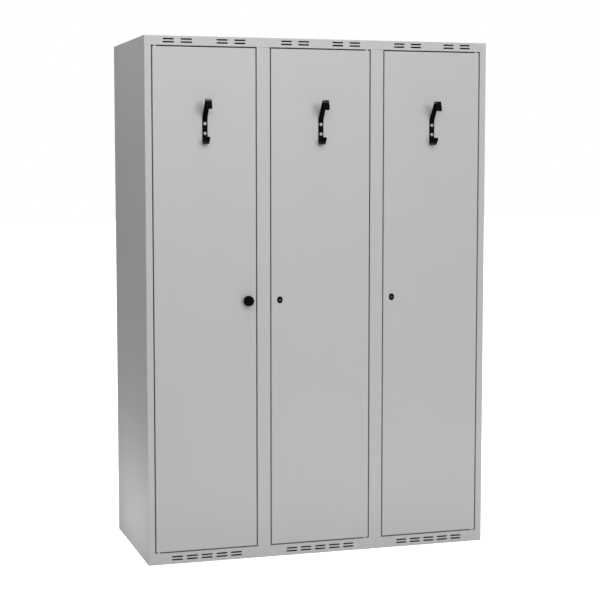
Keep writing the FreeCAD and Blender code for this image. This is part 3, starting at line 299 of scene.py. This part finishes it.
# %% Black finishes
LACQUER_ROUGHNESS = 0.46
RUBBED_FROM = 9.0
RUBBED_FULLY = 5.5
RUBBED_ROUGHNESS = 0.12
RUBBED_IOR = 2.0
CRADLE_FROM = 12.0
CRADLE_FULLY = 3.0
DEEP_BLACK_MIRROR = 0.03
SPARK_GRAIN = 0.35
SPARK_DEPTH = 0.016
MOULD_ROUGHNESS = 0.48
RUBBER_ROUGHNESS = 0.72


def black_lacquer(name, hook):
    """Matt black paint on a hook, rubbed bright over the arch and in the cradle under it."""
    material, blank, shader = start_finish(name)
    place = place_in_mm(blank)
    level = axes(place)[2]
    low, high = (corner.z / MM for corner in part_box(hook))
    flow = noise(place, 3.5, detail=1.0)
    rub = noise(place_in_mm(blank, stretch=(1.0, 0.25, 0.25)), 0.9, detail=3.0)
    worn = soft_step(rub, 0.62, 0.80)
    over_arch = soft_step(level, high - RUBBED_FROM, high - RUBBED_FULLY)
    in_cradle = soft_step(level, low + CRADLE_FROM, low + CRADLE_FULLY)
    connect(
        shader,
        {
            "Base Color": tint(worn, (0.0015, 0.0015, 0.0016, 1), (0.0050, 0.0050, 0.0053, 1)),
            "Roughness": LACQUER_ROUGHNESS + flow * 0.06 + worn * 0.08,
            "Normal": relief(flow * 0.03 + rub * 0.002),
            "Coat Weight": over_arch * (0.8 + worn * 0.2) + in_cradle * 0.25,
            "Coat Roughness": RUBBED_ROUGHNESS,
            "Coat IOR": RUBBED_IOR,
            "Specular IOR Level": DEEP_BLACK_MIRROR,
        },
    )
    return material


def moulded_black(name):
    """Black plastic from a spark-eroded mould: a dense matt grain over a faint flow pattern."""
    material, blank, shader = start_finish(name)
    place = place_in_mm(blank)
    sparks = noise(place, SPARK_GRAIN, detail=2.0, roughness=0.7)
    flow = noise(place, 9.0, detail=2.0)
    connect(
        shader,
        {
            "Base Color": tint(flow, (0.0012, 0.0012, 0.0013, 1), (0.0030, 0.0030, 0.0032, 1)),
            "Roughness": MOULD_ROUGHNESS + sparks * 0.10 - flow * 0.04,
            "Normal": relief(sparks * SPARK_DEPTH),
            "Specular IOR Level": DEEP_BLACK_MIRROR,
        },
    )
    return material


def black_rubber(name):
    """Soft buffer rubber: matt, slightly greyed by bloom."""
    material, blank, shader = start_finish(name)
    place = place_in_mm(blank)
    bloom = noise(place, 2.0, detail=3.0)
    connect(
        shader,
        {
            "Base Color": tint(bloom, (0.028, 0.028, 0.028, 1), (0.050, 0.050, 0.049, 1)),
            "Roughness": RUBBER_ROUGHNESS + bloom * 0.15,
            "Normal": relief(noise(place, 0.3, detail=1.0) * 0.02),
        },
    )
    return material


print("lacquer, moulded plastic and rubber ready")

# %% [markdown]
# ## Bare metal and nylon
# Bare metal shows how it was made. Rivets are headed in a die and keep faint rings round their
# own centre, cams are cut from rolled strip and keep its straight lines, and the hanger rail is
# drawn along its length. Each rivet could have a material of its own, but the rings need only the
# distance to the nearest centre, so one material serves them all. Straight lines are noise
# stretched along one axis. Zinc plating also drifts between a bluish and a warm cast, and nylon
# bushes are off-white and let a little light in.


# %% Bright rivets
RING_DENSITY = 9.0
HEAD_MIDDLE = 3.0
HEAD_EDGE = 5.0


def fold_round(value, centre, pitch):
    """Signed distance along one axis from the nearest of many centres a pitch apart."""
    shifted = value - centre
    return shifted - (shifted * (1 / pitch)).math("ROUND") * pitch


def bright_aluminium(name, across, centres, pitches):
    """Headed rivet: rings and scratches round the nearest centre in the plane of two axes."""
    material, blank, shader = start_finish(name)
    place = place_in_mm(blank)
    coordinate = axes(place)
    offsets = [
        fold_round(coordinate[axis], centre / MM, pitch / MM)
        for axis, centre, pitch in zip(across, centres, pitches)
    ]
    radius = length_of(*offsets)
    rings = (radius * RING_DENSITY).math("SINE")
    scratches = noise(place, 0.5, detail=4.0, roughness=0.7)
    dull = soft_step(radius, HEAD_MIDDLE, HEAD_EDGE)
    connect(
        shader,
        {
            "Base Color": tint(scratches, (0.40, 0.40, 0.41, 1), (0.50, 0.50, 0.51, 1)),
            "Metallic": 0.45,
            "Roughness": 0.44 + scratches * 0.10 + dull * 0.08,
            "Normal": relief(rings * 0.0012 + scratches * 0.004),
        },
    )
    return material


print("rivet heads keep", round(RING_DENSITY * HEAD_EDGE / (2 * np.pi)), "rings")

# %% Zinc, nickel, drawn tube and nylon
ZINC_CAST = (
    (0.30, (0.58, 0.62, 0.68, 1)),
    (0.50, (0.66, 0.67, 0.68, 1)),
    (0.72, (0.70, 0.67, 0.58, 1)),
)


def zinc_plate(name):
    """Zinc-plated strip: rolled lines, and a cast that drifts from bluish to warm."""
    material, blank, shader = start_finish(name)
    place = place_in_mm(blank)
    lines = noise(place_in_mm(blank, stretch=(1.0, 1.0, 0.08)), 0.35, detail=3.0)
    cast = noise(place, 9.0, detail=2.0)
    connect(
        shader,
        {
            "Base Color": cast.node("ValToRGB", {"stops": ZINC_CAST}, {"Fac": cast}, "Color"),
            "Metallic": 1.0,
            "Roughness": 0.30 + lines * 0.14 + cast * 0.05,
            "Normal": relief(lines * 0.006),
        },
    )
    return material


def dull_nickel(name):
    """Lock plug in black nickel, turned and tumbled."""
    material, blank, shader = start_finish(name)
    place = place_in_mm(blank)
    tumble = noise(place, 0.6, detail=4.0, roughness=0.65)
    connect(
        shader,
        {
            "Base Color": tint(tumble, (0.055, 0.055, 0.055, 1), (0.10, 0.10, 0.097, 1)),
            "Metallic": 1.0,
            "Roughness": 0.30 + tumble * 0.16,
            "Normal": relief(tumble * 0.006),
        },
    )
    return material


def drawn_tube(name):
    """Bright hanger rail: fine lines along the tube, and dull bands where hangers slide."""
    material, blank, shader = start_finish(name)
    lines = noise(place_in_mm(blank, stretch=(0.01, 1.0, 1.0)), 0.5, detail=4.0, roughness=0.6)
    slides = noise(place_in_mm(blank, stretch=(1.0, 0.02, 0.02)), 5.0, detail=3.0)
    connect(
        shader,
        {
            "Base Color": tint(slides, (0.70, 0.71, 0.73, 1), (0.80, 0.81, 0.82, 1)),
            "Metallic": 1.0,
            "Roughness": 0.16 + lines * 0.12 + slides * 0.08,
            "Normal": relief(lines * 0.004),
        },
    )
    return material


def natural_nylon(name):
    """Off-white nylon that lets a little light in."""
    material, blank, shader = start_finish(name)
    place = place_in_mm(blank)
    flow = noise(place, 4.0, detail=2.0)
    connect(
        shader,
        {
            "Base Color": tint(flow, (0.74, 0.74, 0.70, 1), (0.82, 0.82, 0.79, 1)),
            "Roughness": 0.42 + flow * 0.10,
            "Normal": relief(noise(place, 0.5, detail=1.0) * 0.006),
            "Subsurface Weight": 0.15,
            "Subsurface Scale": 2 * MM,
        },
    )
    return material


print("zinc drifts through", len(ZINC_CAST), "casts")

# %% [markdown]
# ## Which piece gets which finish
# The model's record already says which finish each piece takes. Giving every piece its finish by
# hand would be a long list that ages badly, so a loop reads the record and fills each piece's
# material slots. Only the doors get a mix of their own, because each has its own place where
# hands touch it.

# %% Make the finishes
rivets_low, rivets_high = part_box("hook_rivets_2")
head_width = rivets_high.x - rivets_low.x
rivet_pitch = rivets_high.z - rivets_low.z - head_width
upper_rivet = rivets_high.z - head_width / 2

finishes = {
    "cabinet_paint": powder_coat("powder coat"),
    "hook_paint": black_lacquer("black lacquer", "coat_hook_2"),
    "black_plastic": moulded_black("moulded black"),
    "bright_rivet": bright_aluminium(
        "rivet aluminium",
        (0, 2),
        (section_middle[2], upper_rivet),
        (section_width, rivet_pitch),
    ),
    "zinc_steel": zinc_plate("zinc plate"),
    "nickel_plug": dull_nickel("dull nickel"),
    "rail_chrome": drawn_tube("drawn tube"),
    "pale_nylon": natural_nylon("natural nylon"),
    "buffer_rubber": black_rubber("buffer rubber"),
}
print(len(finishes), "finishes, one for each of the record's slots")

# %% Doors that hands touch
HAND_PLACES = {1: "knob", 2: "lock_housing_2", 3: "lock_housing_3"}
door_finishes = {
    f"door_panel_{door}": powder_coat(f"powder coat, door {door}", handled=middle(piece))
    for door, piece in HAND_PLACES.items()
}

for subpart in frame["record"]["subparts"]:
    node = subpart["node"]
    finish = door_finishes.get(node, finishes[subpart["material_slot"]])
    for slot in frame["nodes"][node].material_slots:
        slot.material = finish

# %% [markdown]
# ## Surfaces from numbers
# A few things are finer than folded sheet: the threads on the lock barrels, the bevelled corners
# of their nuts, the domes of the rubber buffers and the rims of the spot welds. Each could be cut
# from a cylinder by hand, but all of them are short formulas. So each one is a grid of points that
# numpy works out at once, with one parameter along the shape and one around it, and the grid
# becomes quads. A shape that repeats is the same grid moved to many centres.

# %% From a grid of points to a mesh
CREASE = np.radians(32)
ROUND_STEPS = 24


def grid_faces(rows, columns, copies=1, ring=False):
    """Faces of grids whose columns close on themselves.

    In a ring the last row meets the first. Otherwise the two end rows are closed by flat faces.
    """
    index = np.arange(rows * columns).reshape(rows, columns)
    here = index if ring else index[:-1]
    ahead = np.roll(index, -1, axis=0)[: len(here)]
    quads = np.stack([here, np.roll(here, -1, 1), np.roll(ahead, -1, 1), ahead], axis=-1)
    shift = rows * columns * np.arange(copies)[:, None, None]
    faces = (quads.reshape(-1, 4) + shift).reshape(-1, 4).tolist()
    if not ring:
        ends = np.stack([index[0][::-1], index[-1]])
        faces += (ends + shift).reshape(-1, columns).tolist()
    return faces


def add_piece(name, points, faces, body, slot):
    """A new piece from its points and faces, with the finish of a slot, riding on a body."""
    mesh = bpy.data.meshes.new(name)
    mesh.from_pydata(points.reshape(-1, 3).tolist(), [], faces)
    mesh.shade_smooth()
    mesh.set_sharp_from_angle(angle=CREASE)
    mesh.materials.append(finishes[slot])
    piece = bpy.data.objects.new(name, mesh)
    bpy.context.scene.collection.objects.link(piece)
    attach(piece, body)
    return piece


def turned(profile, centres, facing, segments=ROUND_STEPS):
    """Round pieces turned about an axis along y, at many centres.

    A point of the profile has a radius r and a height h. On the piece it lies at angle a round the
    axis: across by r cos a, up or down by r sin a, and h from the centre towards facing, which is
    -1 for the front and 1 for the rear. The sense of the angle follows facing, so that the faces
    point outwards both ways.
    """
    radius, height = np.array(profile).T[..., None] * MM
    around = np.linspace(0, 2 * np.pi, segments, endpoint=False)
    across = radius * np.cos(around)
    up = -facing * radius * np.sin(around)
    one = np.stack([across, facing * height + 0 * across, up], axis=-1)
    points = np.array(centres)[:, None, None, :] + one
    return points, grid_faces(len(profile), segments, len(centres))


print("round pieces have", ROUND_STEPS, "steps unless they are told otherwise")

# %% [markdown]
# ## Threads and nuts behind the locks
# A cam lock is held by one big nut on its threaded barrel, and both show when a door is open. A
# Screw modifier could wind the thread, but its ends would stay blunt. The formula lets the ridge
# climb one pitch each turn and fade out at both ends, as a die leaves it. A nut's corners are cut
# off by a cone, so each flat ends in an arc: the corner radius follows the hexagon, and the rim
# drops in proportion to how far the corner stands out.

# %% Cut the threads
BARREL_RADIUS = 8.5
THREAD_PITCH = 1.5
THREAD_HEIGHT = 0.45
THREAD_SINK = 0.2
ROOT_SHARE = 0.42
CREST_SHARE = 0.1
TURN_STEPS = 40
barrels = {
    1: ("knob_bush", "knob_nut"),
    2: ("lock_housing_2", "lock_nut_2"),
    3: ("lock_housing_3", "lock_nut_3"),
}


def thread(axis, first, last):
    """A right-handed ridge round an axis, between two places along y.

    It climbs by a pitch for each full turn. Its section is a trapezium from just inside the barrel
    to the crest, its root and crest reach a share of a pitch to each side, and its height fades
    over the first and last half turn.
    """
    turns = (last - first) / (THREAD_PITCH * MM)
    along = np.linspace(0, 1, int(turns * TURN_STEPS))[:, None]
    angle = 2 * np.pi * turns * along
    fade = np.clip(2 * turns * np.minimum(along, 1 - along), 0, 1)
    rise = np.array([0, 1, 1, 0]) * fade
    shift = np.array([ROOT_SHARE, CREST_SHARE, -CREST_SHARE, -ROOT_SHARE]) * THREAD_PITCH * MM
    radius = (BARREL_RADIUS - THREAD_SINK + (THREAD_HEIGHT + THREAD_SINK) * rise) * MM
    climb = first + (last - first) * along + shift
    across, up = radius * np.cos(angle), -radius * np.sin(angle)
    points = np.stack([axis.x + across, climb, axis.z + up], axis=-1)
    return points, grid_faces(len(points), len(shift))


for door, (barrel, nut) in barrels.items():
    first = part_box(nut)[1].y + THREAD_PITCH / 2 * MM
    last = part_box(barrel)[1].y - THREAD_PITCH / 2 * MM
    ridge = thread(middle(barrel), first, last)
    add_piece(f"barrel_thread_{door}", *ridge, f"door_{door}", "black_plastic")
print("threads of", THREAD_PITCH, "mm pitch on", len(barrels), "barrels")

# %% Bevel the nuts
BEVEL_START = 0.97
BEVEL_SLOPE = np.tan(np.radians(30))
BORE_SLACK = 0.1
BORE_BEVEL = 0.7
NUT_STEPS = 72


def bevelled_nut(low, high):
    """Hexagon nut that fills a box, as a section carried round the axis.

    The corner radius is the distance across flats divided by twice the cosine of the angle from
    the middle of the flat, and the rim drops by the bevel's slope beyond the bevel's start.
    """
    centre = (low + high) / 2
    flat, half = (high.z - low.z) / 2, (high.y - low.y) / 2
    around = np.linspace(0, 2 * np.pi, NUT_STEPS, endpoint=False)
    corner = flat / np.cos(around % (np.pi / 3) - np.pi / 6)
    rim = half - (corner - BEVEL_START * flat) * BEVEL_SLOPE
    bore, bevel = (BARREL_RADIUS + BORE_SLACK) * MM, BORE_BEVEL * MM
    mouth, face = bore + bevel, BEVEL_START * flat
    section = (
        (mouth, half),
        (face, half),
        (corner, rim),
        (corner, -rim),
        (face, -half),
        (mouth, -half),
        (bore, bevel - half),
        (bore, half - bevel),
    )
    same = np.ones(NUT_STEPS)
    radius = np.stack([r * same for r, _ in section], axis=-1)
    height = np.stack([h * same for _, h in section], axis=-1)
    across, up = radius * np.cos(around[:, None]), -radius * np.sin(around[:, None])
    points = np.stack([centre.x + across, centre.y + height, centre.z + up], axis=-1)
    return points, grid_faces(NUT_STEPS, len(section), ring=True)


for door, (barrel, nut) in barrels.items():
    low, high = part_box(nut)
    bevelled = add_piece(f"bevelled_{nut}", *bevelled_nut(low, high), f"door_{door}", "zinc_steel")
    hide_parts(nut)
    print(nut, "is", round((high.z - low.z) / MM), "mm across its flats")

# %% [markdown]
# ## Rubber buffers
# Each stop carries a small moulded buffer that takes the blow of a closing door. It has a flange
# that sits on the stop, a neck, and a dome that gives. A ball and a disc pushed together would
# leave a sharp seam between them, so the profile is drawn whole: four plain points and a quarter
# of an ellipse, turned about the buffer's axis.

# %% Mould the buffers
FREE_SIDE = {1: 1, 2: -1, 3: -1}
BUFFER_INSET = 5.5
BUFFER_RADIUS = 4.0
FLANGE_EDGE = 0.7
FLANGE_TOP = (3.7, 1.0)
NECK = (3.1, 1.15)
DOME_EDGE = 3.0
DOME_TOP = 1.2
DOME_RISE = 1.1
DOME_STEPS = 7
stops_low, stops_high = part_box("stop_buffers")
buffer_height = (stops_high.y - stops_low.y) / MM
quarter = np.linspace(0, np.pi / 2, DOME_STEPS)
dome_radius = DOME_TOP + (DOME_EDGE - DOME_TOP) * np.cos(quarter)
dome_height = buffer_height - DOME_RISE * (1 - np.sin(quarter))
flange = [(BUFFER_RADIUS, 0.0), (BUFFER_RADIUS, FLANGE_EDGE), FLANGE_TOP, NECK]
buffer_profile = [*flange, *zip(dome_radius, dome_height)]
buffer_levels = (stops_low.z + BUFFER_RADIUS * MM, stops_high.z - BUFFER_RADIUS * MM)
buffer_centres = []
for door, side in FREE_SIDE.items():
    door_low, door_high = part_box(f"door_panel_{door}")
    free_edge = door_high.x if side > 0 else door_low.x
    for level in buffer_levels:
        buffer_centres.append((free_edge - side * BUFFER_INSET * MM, stops_high.y, level))
buffers = add_piece(
    "moulded_buffers", *turned(buffer_profile, buffer_centres, -1), "cabinet", "buffer_rubber"
)
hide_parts("stop_buffers")
print(len(buffer_centres), "buffers,", round(buffer_height, 1), "mm high")

# %% [markdown]
# ## Spot welds
# The sheets are joined by spot welds. The tips of the welding tongs leave a round mark on the
# steel with a low rim round it, which the powder coat softens. The marks stand in rows down the
# stiffeners' feet and down the back, over the walls' flanges. They could be a bump in the coat,
# but then a mesh without its material would lose them, so each is a thin turned shape. Its height
# is a bell curve of the radius, and about a hundred faces are enough for one.

# %% Weld the sheets
WELD_EDGE = 3.6
WELD_RIM = 2.3
WELD_MIDDLE = 0.6
WELD_RINGS = 8
RIM_WIDTH = 0.6
WELD_HEIGHT = 0.22
WELD_FLOOR = 0.03
WELD_ROOT = -0.05
WELD_STEPS = 14
DOOR_SHEET = 1.0
FOOT_MIDDLE = 5.5
FLANGE_MIDDLE = 10.6
WELD_MARGIN = 45.0
FOOT_WELDS = 14
BACK_WELDS = 13
weld_radius = np.linspace(WELD_EDGE, WELD_MIDDLE, WELD_RINGS)
weld_height = WELD_FLOOR + WELD_HEIGHT * np.exp(-(((weld_radius - WELD_RIM) / RIM_WIDTH) ** 2))
weld_height[0] = WELD_ROOT
weld_profile = np.column_stack([weld_radius, weld_height])


def weld_rows(name, across, back, low, high, count, body):
    """Rows of spot welds at several places across, evenly spaced between two heights."""
    levels = np.linspace(low + WELD_MARGIN * MM, high - WELD_MARGIN * MM, count)
    centres = [(x, back, z) for x in across for z in levels]
    add_piece(name, *turned(weld_profile, centres, 1, WELD_STEPS), body, "cabinet_paint")
    return len(centres)


welds = 0
for door in DOORS:
    low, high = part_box(f"door_stiffener_{door}")
    feet = (low.x + FOOT_MIDDLE * MM, high.x - FOOT_MIDDLE * MM)
    back_of_foot = low.y + DOOR_SHEET * MM
    row = (feet, back_of_foot, low.z, high.z, FOOT_WELDS)
    welds += weld_rows(f"stiffener_welds_{door}", *row, f"door_{door}")
flanges = [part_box("side_panel_left")[0].x + FLANGE_MIDDLE * MM]
for wall in ("partition_1", "partition_2", "side_panel_right"):
    flanges.append(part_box(wall)[1].x - FLANGE_MIDDLE * MM)
low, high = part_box("back_panel")
welds += weld_rows("back_welds", flanges, high.y, low.z, high.z, BACK_WELDS, "cabinet")
print(welds, "spot welds in", len(DOORS) * 2 + len(flanges), "rows")

# %% [markdown]
# ## Floor and background
# The locker stands on a plain pale floor that runs on to a white background, as on a studio sweep.
# A bent sheet would do it too, but a very large flat one is simpler and meets the background far
# away. A white floor would throw too much light up at the sides, so the floor is white only to the
# camera and grey to everything it lights. It is marked as stage, so it is never taken for a part.

# %% Lay the floor
FLOOR_HALF = 30.0
FLOOR_SEEN = 0.96
FLOOR_BOUNCE = 0.45
FLOOR_GLOW = 0.55
floor_corners = [(FLOOR_HALF * x, FLOOR_HALF * y, 0) for x, y in ((-1, -1), (1, -1), (1, 1), (-1, 1))]


def grey(level):
    """A neutral colour."""
    return (level, level, level, 1)


floor_mesh = bpy.data.meshes.new("studio_floor")
floor_mesh.from_pydata(floor_corners, [], [(0, 1, 2, 3)])
floor = bpy.data.objects.new("studio_floor", floor_mesh)
bpy.context.scene.collection.objects.link(floor)
floor_finish, floor_blank, floor_shader = start_finish("pale studio floor")
seen = floor_blank.node("LightPath", {}, {}, "Is Camera Ray")
connect(
    floor_shader,
    {
        "Base Color": tint(seen, grey(FLOOR_BOUNCE), grey(FLOOR_SEEN)),
        "Roughness": 1.0,
        "Specular IOR Level": 0.0,
        "Emission Color": tint(seen, grey(0), grey(FLOOR_GLOW)),
        "Emission Strength": 1.0,
    },
)
floor.data.materials.append(floor_finish)
floor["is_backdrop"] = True
print("floor", FLOOR_HALF * 2, "m square")

# %% [markdown]
# ## Light
# Wide lights suit sheet metal, because a small lamp would draw a hard spot on every panel. Two
# kinds are used. A sun with a wide disc lights every panel evenly, however tall: one stands
# overhead, one low in front on the right, whose light throws the hooks' shadows to the left, and
# two behind and beside keep the other sides readable. Boxes of light fall off with distance: a
# broad key high in front, small boxes along the foot of the front and the left side, and one high
# on the left. Little light comes from the background itself, though the camera sees it white.


# %% Hang the suns
def hang(name, lamp, place, direction):
    """Puts a lamp in the scene at a place, shining in a direction."""
    light = bpy.data.objects.new(name, lamp)
    light.location = place
    light.rotation_mode = "QUATERNION"
    light.rotation_quaternion = Vector(direction).to_track_quat("-Z", "Y")
    light.visible_camera = False
    bpy.context.scene.collection.objects.link(light)


# name: azimuth from the front, elevation and width of the disc in degrees, strength
SUNS = {
    "overhead": (0, 90, 34, 1.7),
    "front_right": (19, 11, 22, 0.6),
    "rear": (150, 40, 30, 1.2),
    "far_side": (85, 25, 60, 0.35),
}
for name, (azimuth, elevation, disc, strength) in SUNS.items():
    lamp = bpy.data.lights.new(name, "SUN")
    lamp.angle = np.radians(disc)
    lamp.energy = strength
    around, up = np.radians(azimuth), np.radians(elevation)
    toward = Vector((np.sin(around) * np.cos(up), -np.cos(around) * np.cos(up), np.sin(up)))
    hang(name, lamp, (0, 0, 0), -toward)
print("suns:", ", ".join(SUNS))

# %% Hang the boxes
# name: place and target in metres, width and height in metres, power in watts
BOXES = {
    "key": ((-0.35, -3.5, 3.0), (-0.1, 0, 1.4), 3.4, 2.2, 80),
    "foot_front": ((0.3, -1.0, 0.10), (0.3, -0.25, 0.08), 1.9, 0.14, 1.28),
    "foot_left": ((-1.02, 0.03, 0.10), (-0.6, 0.03, 0.08), 0.6, 0.14, 1.23),
    "high_left": ((-1.7, 0.0, 2.05), (-0.6, 0.0, 1.65), 0.8, 0.4, 5.25),
}
for name, (place, target, width, height, power) in BOXES.items():
    lamp = bpy.data.lights.new(name, "AREA")
    lamp.shape = "RECTANGLE"
    lamp.size = width
    lamp.size_y = height
    lamp.energy = power
    hang(name, lamp, place, Vector(target) - Vector(place))
print("boxes:", ", ".join(BOXES))

# %% Whiten the background
AMBIENT = 0.064
BACKGROUND_SEEN = 1.0
world = bpy.data.worlds.new("white studio")
bpy.context.scene.world = world
world.use_nodes = True
blank_sky = Wire(world.node_tree)
direct = blank_sky.node("LightPath", {}, {}, "Is Camera Ray")
levels = {"Value": direct, "To Min": AMBIENT, "To Max": BACKGROUND_SEEN}
brightness = blank_sky.node("MapRange", {}, levels, "Result")
connect(world.node_tree.nodes["Background"], {"Color": grey(1), "Strength": brightness})
bpy.context.scene.view_settings.view_transform = "Standard"
print(len(bpy.data.lights), "lights, ambient", AMBIENT)

# %% [markdown]
# ## Camera
# A long lens from the left of the locker and above its middle keeps the uprights almost parallel,
# and shows the front with a slice of the left side. The camera is turned in two steps that are
# easy to say, right and then down. Tracking it to a target would work too, but would hide the two
# angles, which set how the edges converge.

# %% Set the camera
CAMERA_DISTANCE = 4.9179
CAMERA_PLACE = Vector((-1.5782, front_y - CAMERA_DISTANCE, 1.3418))
LOOK_RIGHT = np.radians(17.018)
LOOK_DOWN = np.radians(5.176)
LENS = 91.64
SENSOR = 36.0
camera_data = bpy.data.cameras.new("camera")
camera_data.lens = LENS
camera_data.sensor_width = SENSOR
camera = bpy.data.objects.new("camera", camera_data)
camera.location = CAMERA_PLACE
camera.rotation_euler = (np.pi / 2 - LOOK_DOWN, 0, -LOOK_RIGHT)
bpy.context.scene.collection.objects.link(camera)
bpy.context.scene.camera = camera
print("camera", round(CAMERA_DISTANCE, 2), "m in front of the doors, lens", LENS, "mm")

# %% [markdown]
# ## Last look at the size
# The finished locker has to be as large as the model it was built around. Both boxes are
# measured, and the largest difference between them is printed.

# %% Compare the two boxes and finish
look_low, look_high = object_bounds()
growth = max(abs(a - b) for a, b in zip([*model_low, *model_high], [*look_low, *look_high]))
print("largest difference between the two boxes", round(growth / MM, 3), "mm")
